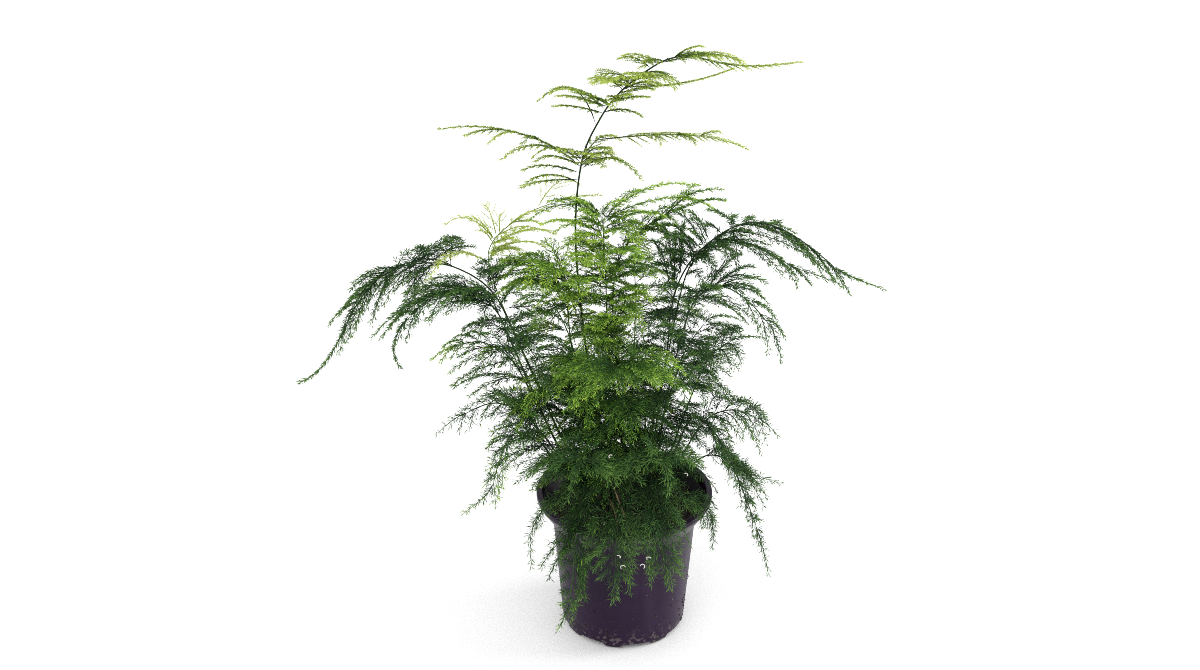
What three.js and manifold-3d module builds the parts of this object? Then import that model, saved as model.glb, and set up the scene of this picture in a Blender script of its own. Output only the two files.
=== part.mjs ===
// A potted asparagus fern: a moulded nursery pot, its soil, and wiry stems that carry flat feathery sprays.
// Millimetres, +Z up. The origin is on the ground under the middle of the pot, and -Y is the front.
import * as THREE from "three";
import { mergeVertices } from "three/addons/utils/BufferGeometryUtils.js";
import Module from "manifold-3d";

const wasm = await Module();
wasm.setup();

// Pot
const potHeight = 102;
const rimRadius = 60;
const lipWidth = 4;
const lipRound = 0.8;
const bandHeight = 3.5;
const collarLine = 83.5;
const collarRadius = 50.2;
const collarStep = 1.5;
const neckRadius = 49;
const baseRadius = 43.3;
const baseRound = 4.5;
const baseBevel = 0.7;
const footRadius = 40.8;
const footWidth = 3.3;
const channelHeight = 5;
const centreRadius = 17;
const wall = 1.5;
const collarWall = 1.8;
const lipDepth = 6.5;
const potSides = 30;
const notchCount = 8;
const notchWidth = 18;
const notchHeight = 4.2;
const notchTurn = 12.7;
const drainCount = 4;
const drainRadius = 4;
const drainSides = 6;
const drainCircle = 28;

// Soil
const seatGap = 0.3;
const soilTop = 88;
const holeDepth = 6;
const holeRadius = 1.6;

// Stems, sprays, twigs and needles
const stemRadius = 1;
const stemTipRadius = 0.5;
const stemSides = 4;
const stemStep = 28;
const stemEndLap = 0.06;
const sprayRadius = 0.62;
const sprayTipRadius = 0.42;
const spraySides = 3;
const nodeHalfLength = 0.7;
const nodeSpacing = 21;
const needleLength = 4.5;
const needleLean = 53;
const shortestTwig = 3;
const longestTwig = 22;
const twigShare = 0.36;
const twigAngle = 46;
const twigSag = 0.06;
const lengthJitter = 0.35;
const angleJitter = 15;
const sprayShortening = 0.5;
const sprayArch = 0.1;
const lastSprayPull = 0.35;
const steepShare = 0.3;
const goldenAngle = 137.5;
const finerSprays = 3;

// Room between fronds, and the changes tried in turn to find it
const clearance = 0.5;
const probeStep = 2.5;
const shareTries = [1, 0.85, 0.7, 0.55];
const raiseTries = [0, 5, -5, 10];
const turnTries = [0, 6, -6, 12, -12, 20, -20];

const up = new THREE.Vector3(0, 0, 1);
const radians = THREE.MathUtils.degToRad;

const materials = {
  plastic: new THREE.MeshStandardMaterial({ color: 0x3c3046, roughness: 0.5, metalness: 0 }),
  soil: new THREE.MeshStandardMaterial({ color: 0x1d1612, roughness: 1, metalness: 0 }),
  dark: new THREE.MeshStandardMaterial({ color: 0x2c5b34, roughness: 0.7, metalness: 0 }),
  middle: new THREE.MeshStandardMaterial({ color: 0x4a8636, roughness: 0.7, metalness: 0 }),
  young: new THREE.MeshStandardMaterial({ color: 0x8db545, roughness: 0.7, metalness: 0 }),
  dry: new THREE.MeshStandardMaterial({ color: 0xb09a5e, roughness: 0.8, metalness: 0 }),
};

// Each frond: where its stem leaves the soil, the points its stem passes, and the tip of its last spray. Row
// gives the sprays set by rule: from which point of the path, how many, how long, how many degrees they spread
// from the stem and how far they droop. Without a spread they stand round the stem. Each entry of sprays is one
// set by hand: where on the path it leaves, its tip, and how far its middle is lifted.
const fronds = [
  {
    name: "frond_tall_leader",
    tone: "young",
    foot: [-8, 6],
    path: [
      [-18, 9, 145], [-27, 9, 213], [-32, 6, 280], [-28, 5, 328],
      [-17, 4, 355], [-3, 1, 374], [20, -2, 391], [38, -4, 395],
    ],
    tip: [100, -14, 393],
    sprays: [
      [3.95, [-113, -10, 354], 9],
      [3.7, [-62, -38, 328], 9],
      [4, [-60, 22, 328], 8],
      [3.9, [8, -42, 333], 9],
      [4.1, [-4, 30, 338], 7],
      [4.45, [70, -20, 345], 8],
      [5, [-54, -8, 368], 12],
      [5.3, [-48, 28, 368], 6],
      [5.4, [12, -25, 371], 4],
      [6, [-24, 6, 380], 3],
      [6.1, [62, -2, 387], 1],
      [6.2, [27, -32, 382], 6],
      [6.7, [-6, 18, 390], 3],
    ],
  },
  {
    name: "frond_second_tall",
    tone: "middle",
    foot: [5, 5],
    path: [[-3, 4, 145], [-11, 0, 210], [-13, 0, 255], [-15, 0, 297]],
    tip: [-12, -4, 318],
    row: { from: 2.2, count: 4, length: 62, droop: 0.12 },
    sprays: [
      [3.95, [39, 10, 316], 6],
      [3.8, [10, 42, 303], 4],
      [3.7, [22, -26, 306], 5],
      [3.9, [-50, 20, 301], 5],
      [3.6, [-52, -24, 300], 5],
      [3.3, [7, -56, 290], 5],
    ],
  },
  {
    name: "frond_third_tall",
    tone: "middle",
    foot: [-13, -4],
    path: [[-26, -8, 145], [-35, -9, 212], [-38, -10, 255]],
    tip: [-46, -22, 286],
    row: { from: 1.5, count: 4, length: 60, droop: 0.15 },
  },
  {
    name: "frond_young_shoot",
    tone: "young",
    foot: [-15, 15],
    path: [[-45, 22, 140], [-75, 22, 212], [-88, 22, 252], [-86, 21, 272], [-66, 20, 290], [-45, 17, 300]],
    tip: [-14, 24, 304],
    sprays: [
      [3.2, [-125, -10, 256], 14],
      [4.1, [-114, 8, 288], 10],
      [3.5, [-62, -6, 272], 5],
      [3.8, [-43, -14, 291], 6],
      [4.2, [-90, 26, 296], 4],
      [5.4, [-31, 34, 309], 8],
    ],
  },
  {
    name: "frond_left_arch",
    tone: "dark",
    foot: [-19, 1],
    path: [
      [-42, -6, 144], [-68, -12, 214], [-83, -14, 250], [-104, -18, 268],
      [-125, -22, 273], [-145, -24, 268], [-160, -27, 256], [-172, -32, 238],
    ],
    tip: [-203, -40, 203],
    row: { from: 3.9, count: 4, length: 42, spread: 36, droop: 0.3 },
    sprays: [
      [4.2, [-112, 28, 274], 6],
      [4.9, [-132, 12, 279], 5],
    ],
  },
  {
    name: "frond_left_second",
    tone: "dark",
    foot: [-20, -7],
    path: [
      [-45, -16, 145], [-69, -26, 214], [-80, -33, 246],
      [-95, -42, 262], [-115, -52, 262], [-130, -58, 252],
    ],
    tip: [-135, -62, 222],
    row: { from: 3.2, count: 4, length: 42, spread: 40, droop: 0.25 },
  },
  {
    name: "frond_left_middle",
    tone: "middle",
    foot: [-24, 8],
    path: [[-40, 4, 122], [-58, 0, 165], [-74, 0, 198], [-92, -3, 212], [-108, -7, 212]],
    tip: [-126, -10, 203],
    row: { from: 2, count: 4, length: 46, spread: 46, droop: 0.25 },
  },
  {
    name: "frond_left_lower",
    tone: "dark",
    foot: [-25, -1],
    path: [[-46, 2, 128], [-66, 4, 155], [-86, 0, 167], [-105, -9, 164]],
    tip: [-124, -20, 154],
    row: { from: 1.6, count: 4, length: 40, spread: 60, droop: 0.25 },
  },
  {
    name: "frond_left_trail",
    tone: "middle",
    foot: [-20, -15],
    path: [[-42, -27, 132], [-58, -35, 160], [-72, -41, 165], [-80, -44, 149], [-85, -46, 132]],
    tip: [-106, -50, 113],
    row: { from: 2, count: 4, length: 27, spread: 55, droop: 0.3 },
  },
  {
    name: "frond_left_rim",
    tone: "dark",
    foot: [-17, -21],
    path: [[-32, -33, 112], [-48, -41, 117], [-58, -45, 104]],
    tip: [-61, -48, 70],
    row: { from: 1.2, count: 4, length: 24, spread: 55, droop: 0.3 },
  },
  {
    name: "frond_right_arch",
    tone: "dark",
    foot: [14, 7],
    path: [
      [21, 6, 145], [27, 4, 200], [30, 0, 240], [39, -4, 266], [55, -6, 284],
      [73, -8, 294], [92, -10, 292], [110, -12, 282], [128, -15, 268],
    ],
    tip: [160, -20, 256],
    row: { from: 4.3, count: 5, length: 38, spread: 34, droop: 0.2 },
    sprays: [[4.5, [20, -30, 292], 6]],
  },
  {
    name: "frond_right_second",
    tone: "dark",
    foot: [11, 16],
    path: [
      [19, 17, 140], [28, 17, 190], [35, 16, 234], [43, 16, 260],
      [60, 16, 274], [80, 11, 274], [102, 2, 264],
    ],
    tip: [131, -18, 260],
    row: { from: 3.6, count: 4, length: 42, spread: 36, droop: 0.2 },
  },
  {
    name: "frond_right_middle",
    tone: "dark",
    foot: [19, -2],
    path: [
      [23, -7, 140], [27, -11, 176], [35, -16, 222], [43, -19, 248],
      [58, -23, 258], [74, -26, 250], [87, -28, 236],
    ],
    tip: [97, -30, 210],
    row: { from: 2.6, count: 4, length: 42, spread: 42, droop: 0.2 },
  },
  {
    name: "frond_right_inner",
    tone: "middle",
    foot: [3, 16],
    path: [
      [-1, 20, 140], [-6, 24, 190], [-8, 26, 235], [-2, 25, 264],
      [12, 23, 281], [25, 20, 291], [36, 18, 302],
    ],
    tip: [61, 12, 311],
    row: { from: 3.4, count: 4, length: 44, spread: 42, droop: 0.15 },
  },
  {
    name: "frond_right_green",
    tone: "dark",
    foot: [22, 12],
    path: [[34, 10, 132], [45, 5, 172], [55, 1, 200], [68, 1, 211]],
    tip: [92, 8, 211],
    row: { from: 1.6, count: 4, length: 48, spread: 64, droop: 0.2 },
  },
  {
    name: "frond_right_outer",
    tone: "dark",
    foot: [26, 3],
    path: [[40, -1, 130], [54, -3, 156], [71, -2, 163], [88, 0, 156]],
    tip: [104, 0, 142],
    row: { from: 1.6, count: 4, length: 40, spread: 60, droop: 0.25 },
  },
  {
    name: "frond_right_trail",
    tone: "dark",
    foot: [18, -17],
    path: [
      [32, -17, 138], [44, -17, 165], [58, -19, 155],
      [69, -22, 136], [79, -25, 112], [88, -28, 88],
    ],
    tip: [98, -31, 53],
    row: { from: 2.5, count: 5, length: 25, spread: 52, droop: 0.1 },
  },
  {
    name: "frond_right_sparse",
    tone: "dark",
    foot: [26, -8],
    path: [[40, -6, 116], [54, -2, 128], [70, 2, 124], [84, 6, 112]],
    tip: [110, 12, 100],
    row: { from: 2, count: 4, length: 30, spread: 55, droop: 0.2 },
  },
  {
    name: "frond_right_rim",
    tone: "dark",
    foot: [24, -22],
    path: [[34, -30, 112], [46, -37, 116], [54, -42, 106]],
    tip: [57, -46, 84],
    row: { from: 1.2, count: 4, length: 22, spread: 55, droop: 0.3 },
  },
  {
    name: "frond_front_spray",
    tone: "middle",
    foot: [-1, -11],
    path: [[-1, -22, 140], [-2, -34, 185], [-3, -50, 213], [-6, -68, 224]],
    tip: [-22, -100, 212],
    row: { from: 2.2, count: 4, length: 50, spread: 66, droop: 0.25 },
    sprays: [[3.6, [34, -66, 221], 9]],
  },
  {
    name: "frond_front_low_right",
    tone: "dark",
    foot: [11, -9],
    path: [[16, -22, 122], [20, -38, 147], [22, -54, 156]],
    tip: [26, -82, 146],
    row: { from: 1.2, count: 4, length: 42, spread: 62, droop: 0.3 },
  },
  {
    name: "frond_front_low_left",
    tone: "dark",
    foot: [-10, -12],
    path: [[-16, -24, 122], [-22, -40, 147], [-28, -56, 154]],
    tip: [-36, -82, 142],
    row: { from: 1.2, count: 4, length: 42, spread: 62, droop: 0.3 },
  },
  {
    name: "frond_front_trail_left",
    tone: "middle",
    foot: [-11, -25],
    path: [[-17, -38, 114], [-24, -54, 116], [-32, -63, 98], [-37, -62, 74], [-41, -59, 50]],
    tip: [-48, -56, 27],
    row: { from: 1.6, count: 5, length: 22, spread: 50, droop: 0.1 },
  },
  {
    name: "frond_front_trail_middle",
    tone: "dark",
    foot: [2, -21],
    path: [[-1, -36, 114], [-4, -54, 118], [-6, -68, 106], [-7, -74, 86]],
    tip: [-8, -75, 62],
    row: { from: 1.4, count: 4, length: 26, spread: 50, droop: 0.1 },
  },
  {
    name: "frond_front_trail_right",
    tone: "dark",
    foot: [14, -27],
    path: [[16, -40, 113], [19, -55, 114], [22, -66, 100], [25, -69, 86]],
    tip: [29, -69, 68],
    row: { from: 1.4, count: 4, length: 24, spread: 50, droop: 0.1 },
  },
  {
    name: "frond_middle_left",
    tone: "dark",
    foot: [-5, -2],
    path: [[-12, -1, 130], [-23, 2, 170], [-37, 4, 194]],
    tip: [-64, 8, 196],
    row: { from: 1.1, count: 4, length: 50, spread: 64, droop: 0.25 },
  },
  {
    name: "frond_middle_right",
    tone: "dark",
    foot: [10, -1],
    path: [[13, -3, 130], [13, -6, 168], [9, -12, 198]],
    tip: [2, -30, 222],
    row: { from: 1.1, count: 4, length: 50, droop: 0.2 },
  },
  {
    name: "frond_back_low",
    tone: "dark",
    foot: [-3, 34],
    path: [[-5, 46, 116], [-8, 62, 130], [-10, 78, 128]],
    tip: [-14, 102, 112],
    row: { from: 1.2, count: 4, length: 36, spread: 60, droop: 0.25 },
  },
  {
    name: "frond_back_left",
    tone: "middle",
    foot: [-9, 24],
    path: [[-24, 36, 142], [-38, 54, 192], [-52, 72, 214]],
    tip: [-78, 98, 212],
    row: { from: 1.4, count: 4, length: 52, spread: 64, droop: 0.2 },
  },
  {
    name: "frond_back_middle",
    tone: "dark",
    foot: [4, 26],
    path: [[6, 40, 148], [8, 60, 205], [8, 84, 232]],
    tip: [8, 118, 230],
    row: { from: 1.5, count: 4, length: 54, spread: 64, droop: 0.2 },
  },
  {
    name: "frond_back_right",
    tone: "dark",
    foot: [16, 24],
    path: [[28, 36, 138], [42, 54, 178], [58, 70, 196]],
    tip: [88, 90, 190],
    row: { from: 1.4, count: 4, length: 50, spread: 64, droop: 0.2 },
  },
];

// Leafless stalks of old growth: foot, then the points each passes.
const dryStalks = [
  { name: "dry_stalk_long", foot: [3, -38], path: [[-1, -33, 102], [-9, -27, 122]] },
  { name: "dry_stalk_short", foot: [-5, -36], path: [[-6, -33, 100], [-10, -31, 112]] },
];

// A number from 0 to 1 that looks random but is the same each time, from a whole number.
function scatter(seed) {
  const wave = Math.sin(seed * 12.9898) * 43758.5453;
  return wave - Math.floor(wave);
}

function toSolid(geometry) {
  geometry.deleteAttribute("normal");
  geometry.deleteAttribute("uv");
  const merged = mergeVertices(geometry, 1e-4);
  const vertProperties = new Float32Array(merged.attributes.position.array);
  const triVerts = new Uint32Array(merged.index.array);
  return new wasm.Manifold(new wasm.Mesh({ numProp: 3, vertProperties, triVerts }));
}

function toGeometry(solid) {
  const { vertProperties, triVerts } = solid.getMesh();
  const geometry = new THREE.BufferGeometry();
  geometry.setAttribute("position", new THREE.BufferAttribute(vertProperties, 3));
  geometry.setIndex(new THREE.BufferAttribute(triVerts, 1));
  geometry.computeVertexNormals();
  return geometry;
}

function namedMesh(name, solid, material) {
  const mesh = new THREE.Mesh(toGeometry(solid), material);
  mesh.name = name;
  return mesh;
}

// The solid turned about +Z from an outline of [radius, height] points that starts and ends on the axis.
function turned(outline, sides) {
  const points = outline.map(([radius, height]) => new THREE.Vector2(radius, height));
  return toSolid(new THREE.LatheGeometry(points, sides).rotateX(Math.PI / 2));
}

// The radius of an outline at a height, by straight lines between its points.
function radiusAt(outline, height) {
  const above = outline.findIndex(([, z]) => z >= height);
  if (above <= 0) return outline[above === 0 ? 0 : outline.length - 1][0];
  const [lowRadius, low] = outline[above - 1];
  const [highRadius, high] = outline[above];
  return lowRadius + ((highRadius - lowRadius) * (height - low)) / (high - low);
}

const channelTop = channelHeight + wall;
const wellRadius = centreRadius - wall;
const lipInner = rimRadius - lipWidth;
const bandBottom = potHeight - bandHeight;
const neckTop = collarLine - collarStep - 1;

// The pot wall from the foot up, outside and inside. The floor stands on the ground at its centre and on the
// foot ring, with a raised drain channel between them.
const potOutside = [
  [footRadius, 0],
  [baseRadius - baseBevel, baseRound / 3],
  [baseRadius, baseRound],
  [neckRadius, collarLine - collarStep],
  [collarRadius, collarLine],
  [rimRadius, bandBottom],
  [rimRadius, potHeight - lipRound],
  [rimRadius - lipRound, potHeight],
];
const potInside = [
  [baseRadius - wall, channelTop],
  [neckRadius - wall, neckTop],
  [collarRadius - collarWall, collarLine],
  [lipInner, potHeight - lipDepth],
  [lipInner, potHeight],
];

function makePot() {
  const footInner = footRadius - footWidth;
  const centre = [[0, 0], [centreRadius, 0], [centreRadius, channelHeight]];
  const channel = [[footInner, channelHeight], [footInner, 0]];
  const floor = [[wellRadius, channelTop], [wellRadius, wall], [0, wall]];
  const outline = [...centre, ...channel, ...potOutside, ...potInside.toReversed(), ...floor];
  let pot = turned(outline, potSides);
  for (let k = 0; k < notchCount; k++) {
    const notch = new THREE.BoxGeometry(4 * footWidth, notchWidth, 2 * notchHeight);
    notch.translate(footRadius, 0, 0).rotateZ(radians(notchTurn - 90 + (360 / notchCount) * k));
    pot = pot.subtract(toSolid(notch));
  }
  for (let k = 0; k < drainCount; k++) {
    const drain = new THREE.CylinderGeometry(drainRadius, drainRadius, 4 * wall, drainSides);
    drain.rotateX(Math.PI / 2).translate(drainCircle, 0, channelHeight);
    pot = pot.subtract(toSolid(drain.rotateZ(radians((360 / drainCount) * k))));
  }
  return pot;
}

function makeSoil(feet) {
  const bottom = wall + seatGap;
  const ledge = channelTop + seatGap;
  const well = [[0, bottom], [wellRadius - seatGap, bottom], [wellRadius - seatGap, ledge]];
  const heights = [ledge, neckTop, collarLine, soilTop];
  const side = heights.map((z) => [radiusAt(potInside, z) - seatGap, z]);
  let soil = turned([...well, ...side, [0, soilTop]], potSides);
  for (const [x, y] of feet) {
    const hole = new THREE.CylinderGeometry(holeRadius, holeRadius, 2 * holeDepth, stemSides);
    soil = soil.subtract(toSolid(hole.rotateX(Math.PI / 2).translate(x, y, soilTop)));
  }
  return soil;
}

// A closed skin over rings of corners, with the last ring closed on the point "end". Where spikes gives a point
// for the quad that starts at a ring and a corner, that quad is drawn out to it.
function skin(rings, end, spikes = new Map()) {
  const corners = rings[0].length;
  const points = rings.flat();
  const triangles = [];
  for (let corner = 2; corner < corners; corner++) triangles.push([0, corner, corner - 1]);
  rings.slice(1).forEach((_, ring) => {
    for (let corner = 0; corner < corners; corner++) {
      const a = ring * corners + corner;
      const b = ring * corners + ((corner + 1) % corners);
      const [c, d] = [b + corners, a + corners];
      const spike = spikes.get(ring * corners + corner);
      if (spike) {
        const point = points.push(spike) - 1;
        triangles.push([a, b, point], [b, c, point], [c, d, point], [d, a, point]);
      } else {
        triangles.push([a, b, c], [a, c, d]);
      }
    }
  });
  const last = (rings.length - 1) * corners;
  const point = points.push(end) - 1;
  for (let corner = 0; corner < corners; corner++) {
    triangles.push([last + corner, last + ((corner + 1) % corners), point]);
  }
  const geometry = new THREE.BufferGeometry().setFromPoints(points);
  geometry.setIndex(triangles.flat());
  return toSolid(geometry);
}

// A ring of corners round a centre, across a direction, with its first corner along "first".
function ringOf(centre, direction, first, radius, corners) {
  const across = new THREE.Vector3().crossVectors(direction, first).normalize();
  const level = new THREE.Vector3().crossVectors(across, direction).normalize();
  return Array.from({ length: corners }, (_, corner) => {
    const angle = (2 * Math.PI * corner) / corners;
    return centre
      .clone()
      .addScaledVector(level, radius * Math.cos(angle))
      .addScaledVector(across, radius * Math.sin(angle));
  });
}

// A stem's curve through its points: the foot in its hole, just over the soil, then the path. "At" counts the
// points of the path, with 0 just over the soil. Places are where its straight runs meet.
class Stem {
  constructor({ foot: [x, y], path }) {
    const rooted = [[x, y, soilTop - holeDepth + seatGap], [x, y, soilTop + 2]];
    this.points = [...rooted, ...path].map((point) => new THREE.Vector3(...point));
    this.last = path.length;
    this.places = [-1, 0];
    for (let at = 0; at < this.last; at++) {
      const steps = Math.max(1, Math.round(this.point(at).distanceTo(this.point(at + 1)) / stemStep));
      for (let step = 1; step <= steps; step++) this.places.push(at + step / steps);
    }
  }
  // Uniform Catmull-Rom curve, with each end point doubled.
  point(at) {
    const place = Math.min(Math.max(at + 1, 0), this.points.length - 1 - 1e-9);
    const k = Math.floor(place);
    const t = place - k;
    const [a, b, c, d] = [k - 1, k, k + 1, k + 2].map(
      (index) => this.points[Math.min(Math.max(index, 0), this.points.length - 1)],
    );
    const blend = (p, q, r, s) =>
      0.5 * (2 * q + (r - p) * t + (2 * p - 5 * q + 4 * r - s) * t * t + (3 * q - p - 3 * r + s) * t ** 3);
    return new THREE.Vector3(blend(a.x, b.x, c.x, d.x), blend(a.y, b.y, c.y, d.y), blend(a.z, b.z, c.z, d.z));
  }
  // The point on the straight runs, which is where a spray's spine starts.
  seat(at) {
    const above = this.places.findIndex((place) => place >= at);
    const [low, high] = [this.places[above - 1], this.places[above]];
    return this.point(low).lerp(this.point(high), (at - low) / (high - low));
  }
  direction(at) {
    const step = 0.02;
    return this.point(at).sub(this.point(at - step)).normalize();
  }
}

function makeStem(stem, radius, tipRadius) {
  const { places } = stem;
  const front = new THREE.Vector3(0, 1, 0.3);
  const rings = places.map((at, k) => {
    const size = THREE.MathUtils.lerp(radius, tipRadius, k / (places.length - 1));
    const direction = at <= 0 ? up : stem.direction(at);
    return ringOf(stem.point(at), direction, front, size, stemSides);
  });
  const segments = places.slice(1).map((at, k) => ({ a: stem.point(places[k]), b: stem.point(at), radius }));
  return { solid: skin(rings, stem.point(stem.last)), segments };
}

// The heading of a frond: level, from its foot towards its tip.
function headingOf({ foot: [x, y], tip }) {
  return new THREE.Vector3(tip[0] - x, tip[1] - y, 0).normalize();
}

// A spray's spine is a quadratic curve from base to tip, pulled towards middle.
function spineOf(base, tip, lift) {
  const middle = base.clone().lerp(tip, 0.5).addScaledVector(up, 2 * lift);
  return { base, middle, tip };
}

// A value raised or lowered by up to half of a range.
function varied(value, range, seed) {
  return value + range * (scatter(seed) - 0.5);
}

// Spray number "fine" of a frond's row, out of finerSprays times its count. Sprays shorten along the stem.
function rowSpray(frond, stem, fine) {
  const { from, count, length, spread, droop } = frond.row;
  const share = (fine + 0.5) / (finerSprays * count);
  const at = from + (stem.last - from) * share;
  const base = stem.seat(at);
  const heading = headingOf(frond);
  const side = fine % 2 === 0 ? 1 : -1;
  const seed = fine + 7 * frond.foot[0] + 13 * frond.foot[1];
  const reach = length * (1 - sprayShortening * share) * varied(1, lengthJitter, seed);
  let outward;
  if (spread) {
    const across = new THREE.Vector3().crossVectors(heading, up);
    const angle = radians(varied(spread, angleJitter, seed));
    outward = stem.direction(at).multiplyScalar(Math.cos(angle));
    outward.addScaledVector(across, side * Math.sin(angle));
  } else {
    outward = heading.clone().applyAxisAngle(up, radians(goldenAngle * fine));
  }
  const tip = base.clone().addScaledVector(outward, reach).addScaledVector(up, -droop * reach);
  return spineOf(base, tip, (sprayArch + droop / 4) * reach);
}

// The last spray carries on from the end of the stem.
function lastSpray(frond, stem) {
  const tip = new THREE.Vector3(...frond.tip);
  const base = stem.seat(stem.last - stemEndLap);
  const pull = lastSprayPull * base.distanceTo(tip);
  return { base, middle: base.clone().addScaledVector(stem.direction(stem.last), pull), tip };
}

// A spray turned about the vertical through its base, shortened and raised.
function changedSpray({ base, middle, tip }, turn, share, raise) {
  const moved = (point) => {
    const arm = point.clone().sub(base).applyAxisAngle(up, radians(turn)).multiplyScalar(share);
    return arm.addScaledVector(up, raise).add(base);
  };
  return { base, middle: moved(middle), tip: moved(tip) };
}

// How long twigs are along a spray, as a share of the longest: rising from its base, then falling to its tip.
function fullness(share) {
  return Math.min(1, 0.45 + 2.2 * share) * Math.pow(1 - share, 0.7);
}

// One spray: a slim three-sided spine with nodes along it. Each node has a pair of twigs in the spray's plane
// and a needle out of it, above the spine on one spray and below it on the next.
function makeSpray({ base, middle, tip }, heading, seed) {
  const curve = new THREE.QuadraticBezierCurve3(base, middle, tip);
  const length = curve.getLength();
  const reach = tip.clone().sub(base);
  const level = new THREE.Vector3(reach.x, reach.y, 0);
  const forward = level.length() > steepShare * length ? level : heading;
  const across = new THREE.Vector3().crossVectors(forward, up).normalize();
  const nodes = Math.min(5, Math.max(2, Math.round(length / nodeSpacing)));
  const needleUp = seed % 2 === 0 ? 1 : -1;
  const rings = [];
  const spikes = new Map();
  const segments = [];
  const addRing = (share) => {
    const direction = curve.getTangent(share);
    const top = new THREE.Vector3().crossVectors(across, direction).multiplyScalar(-needleUp);
    const size = THREE.MathUtils.lerp(sprayRadius, sprayTipRadius, share);
    return rings.push(ringOf(curve.getPoint(share), direction, top, size, spraySides)) - 1;
  };
  addRing(0);
  let before = base;
  for (let node = 0; node < nodes; node++) {
    const share = (node + 0.75) / (nodes + 0.45);
    const centre = curve.getPoint(share);
    const direction = curve.getTangent(share);
    const half = nodeHalfLength / length;
    const ring = addRing(share - half);
    addRing(share + half);
    for (const side of [-1, 1]) {
      const twigSeed = 31 * seed + 5 * node + side;
      const full = Math.min(longestTwig, twigShare * length) * fullness(share);
      const twig = shortestTwig + full * varied(1, lengthJitter, twigSeed);
      const angle = radians(varied(twigAngle, angleJitter, twigSeed));
      const point = centre
        .clone()
        .addScaledVector(direction, twig * Math.cos(angle))
        .addScaledVector(across, side * twig * Math.sin(angle))
        .addScaledVector(up, -twigSag * twig);
      const corner = side * needleUp > 0 ? 2 : 0;
      spikes.set(ring * spraySides + corner, point);
      segments.push({ a: centre, b: point, radius: sprayRadius });
    }
    const above = new THREE.Vector3().crossVectors(across, direction);
    const needle = centre
      .clone()
      .addScaledVector(direction, needleLength * Math.cos(radians(needleLean)))
      .addScaledVector(above, needleUp * needleLength * Math.sin(radians(needleLean)));
    spikes.set(ring * spraySides + 1, needle);
    segments.push({ a: centre, b: needle, radius: sprayRadius });
    segments.push({ a: before, b: centre, radius: sprayRadius });
    before = centre;
  }
  segments.push({ a: before, b: tip, radius: sprayRadius });
  return { build: () => skin(rings, tip, spikes), segments };
}

// The least distance between two straight segments.
function distanceBetween(first, second) {
  const u = first.b.clone().sub(first.a);
  const v = second.b.clone().sub(second.a);
  const w = first.a.clone().sub(second.a);
  const [uu, uv, vv, uw, vw] = [u.dot(u), u.dot(v), v.dot(v), u.dot(w), v.dot(w)];
  const clamp = (value) => Math.min(Math.max(value, 0), 1);
  const spare = uu * vv - uv * uv;
  let s = spare > 1e-9 ? clamp((uv * vw - vv * uw) / spare) : 0;
  const t = clamp((uv * s + vw) / Math.max(vv, 1e-9));
  s = clamp((uv * t - uw) / Math.max(uu, 1e-9));
  return w.addScaledVector(u, s).addScaledVector(v, -t).length();
}

function boxOf(segments) {
  const box = new THREE.Box3();
  for (const { a, b } of segments) box.expandByPoint(a).expandByPoint(b);
  return box.expandByScalar(2 * stemRadius + clearance);
}

// Whether a segment keeps off the pot wall and the soil.
function clearOfPot({ a, b, radius }) {
  const room = radius + clearance;
  const steps = Math.ceil(a.distanceTo(b) / probeStep);
  for (let step = 0; step <= steps; step++) {
    const point = a.clone().lerp(b, step / steps);
    const out = Math.hypot(point.x, point.y);
    const over = point.z > potHeight + room;
    const outside = out > radiusAt(potOutside, point.z) + room;
    const inside = out < radiusAt(potInside, point.z) - room && point.z > soilTop + room;
    if (point.z < 1 || !(over || outside || inside)) return false;
  }
  return true;
}

// The plant grows in turns: all stems first, then the sprays of every frond one after another. A spray that
// would touch another frond, the pot or the soil is turned, raised or shortened until it is clear.
const plants = fronds.map((frond) => {
  const stem = new Stem(frond);
  const grown = makeStem(stem, stemRadius, stemTipRadius);
  const { sprays = [], row = { count: 0 } } = frond;
  const byHand = sprays.map(([at, tip, lift]) => spineOf(stem.seat(at), new THREE.Vector3(...tip), lift));
  const byRule = Array.from({ length: row.count }, (_, k) => rowSpray(frond, stem, finerSprays * k + 1));
  return {
    frond,
    solid: grown.solid,
    groups: [{ segments: grown.segments, box: boxOf(grown.segments) }],
    waiting: [lastSpray(frond, stem), ...byHand, ...byRule],
  };
});

const stalks = dryStalks.map((stalk) => {
  const grown = makeStem(new Stem(stalk), 0.8 * stemRadius, stemTipRadius);
  return { ...stalk, solid: grown.solid, groups: [{ segments: grown.segments, box: boxOf(grown.segments) }] };
});

function isClear(plant, segments) {
  const box = boxOf(segments);
  if (!segments.slice(0, -1).every(clearOfPot)) return false;
  return [...plants, ...stalks].every(
    (other) =>
      other === plant ||
      other.groups.every(
        (group) =>
          !box.intersectsBox(group.box) ||
          segments.every((one) =>
            group.segments.every((two) => distanceBetween(one, two) > one.radius + two.radius + clearance),
          ),
      ),
  );
}

function growSpray(plant, spine, seed) {
  const heading = headingOf(plant.frond);
  for (const share of shareTries) {
    for (const raise of raiseTries) {
      for (const turn of turnTries) {
        const { build, segments } = makeSpray(changedSpray(spine, turn, share, raise), heading, seed);
        if (isClear(plant, segments)) {
          plant.solid = plant.solid.add(build());
          plant.groups.push({ segments, box: boxOf(segments) });
          return;
        }
      }
    }
  }
  throw new Error(plant.frond.name + " has no room for spray " + seed);
}

const mostSprays = Math.max(...plants.map((plant) => plant.waiting.length));
for (let turn = 0; turn < mostSprays; turn++) {
  plants.forEach((plant, k) => {
    const spine = plant.waiting[turn];
    if (spine) growSpray(plant, spine, 100 * k + turn);
  });
}

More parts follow.
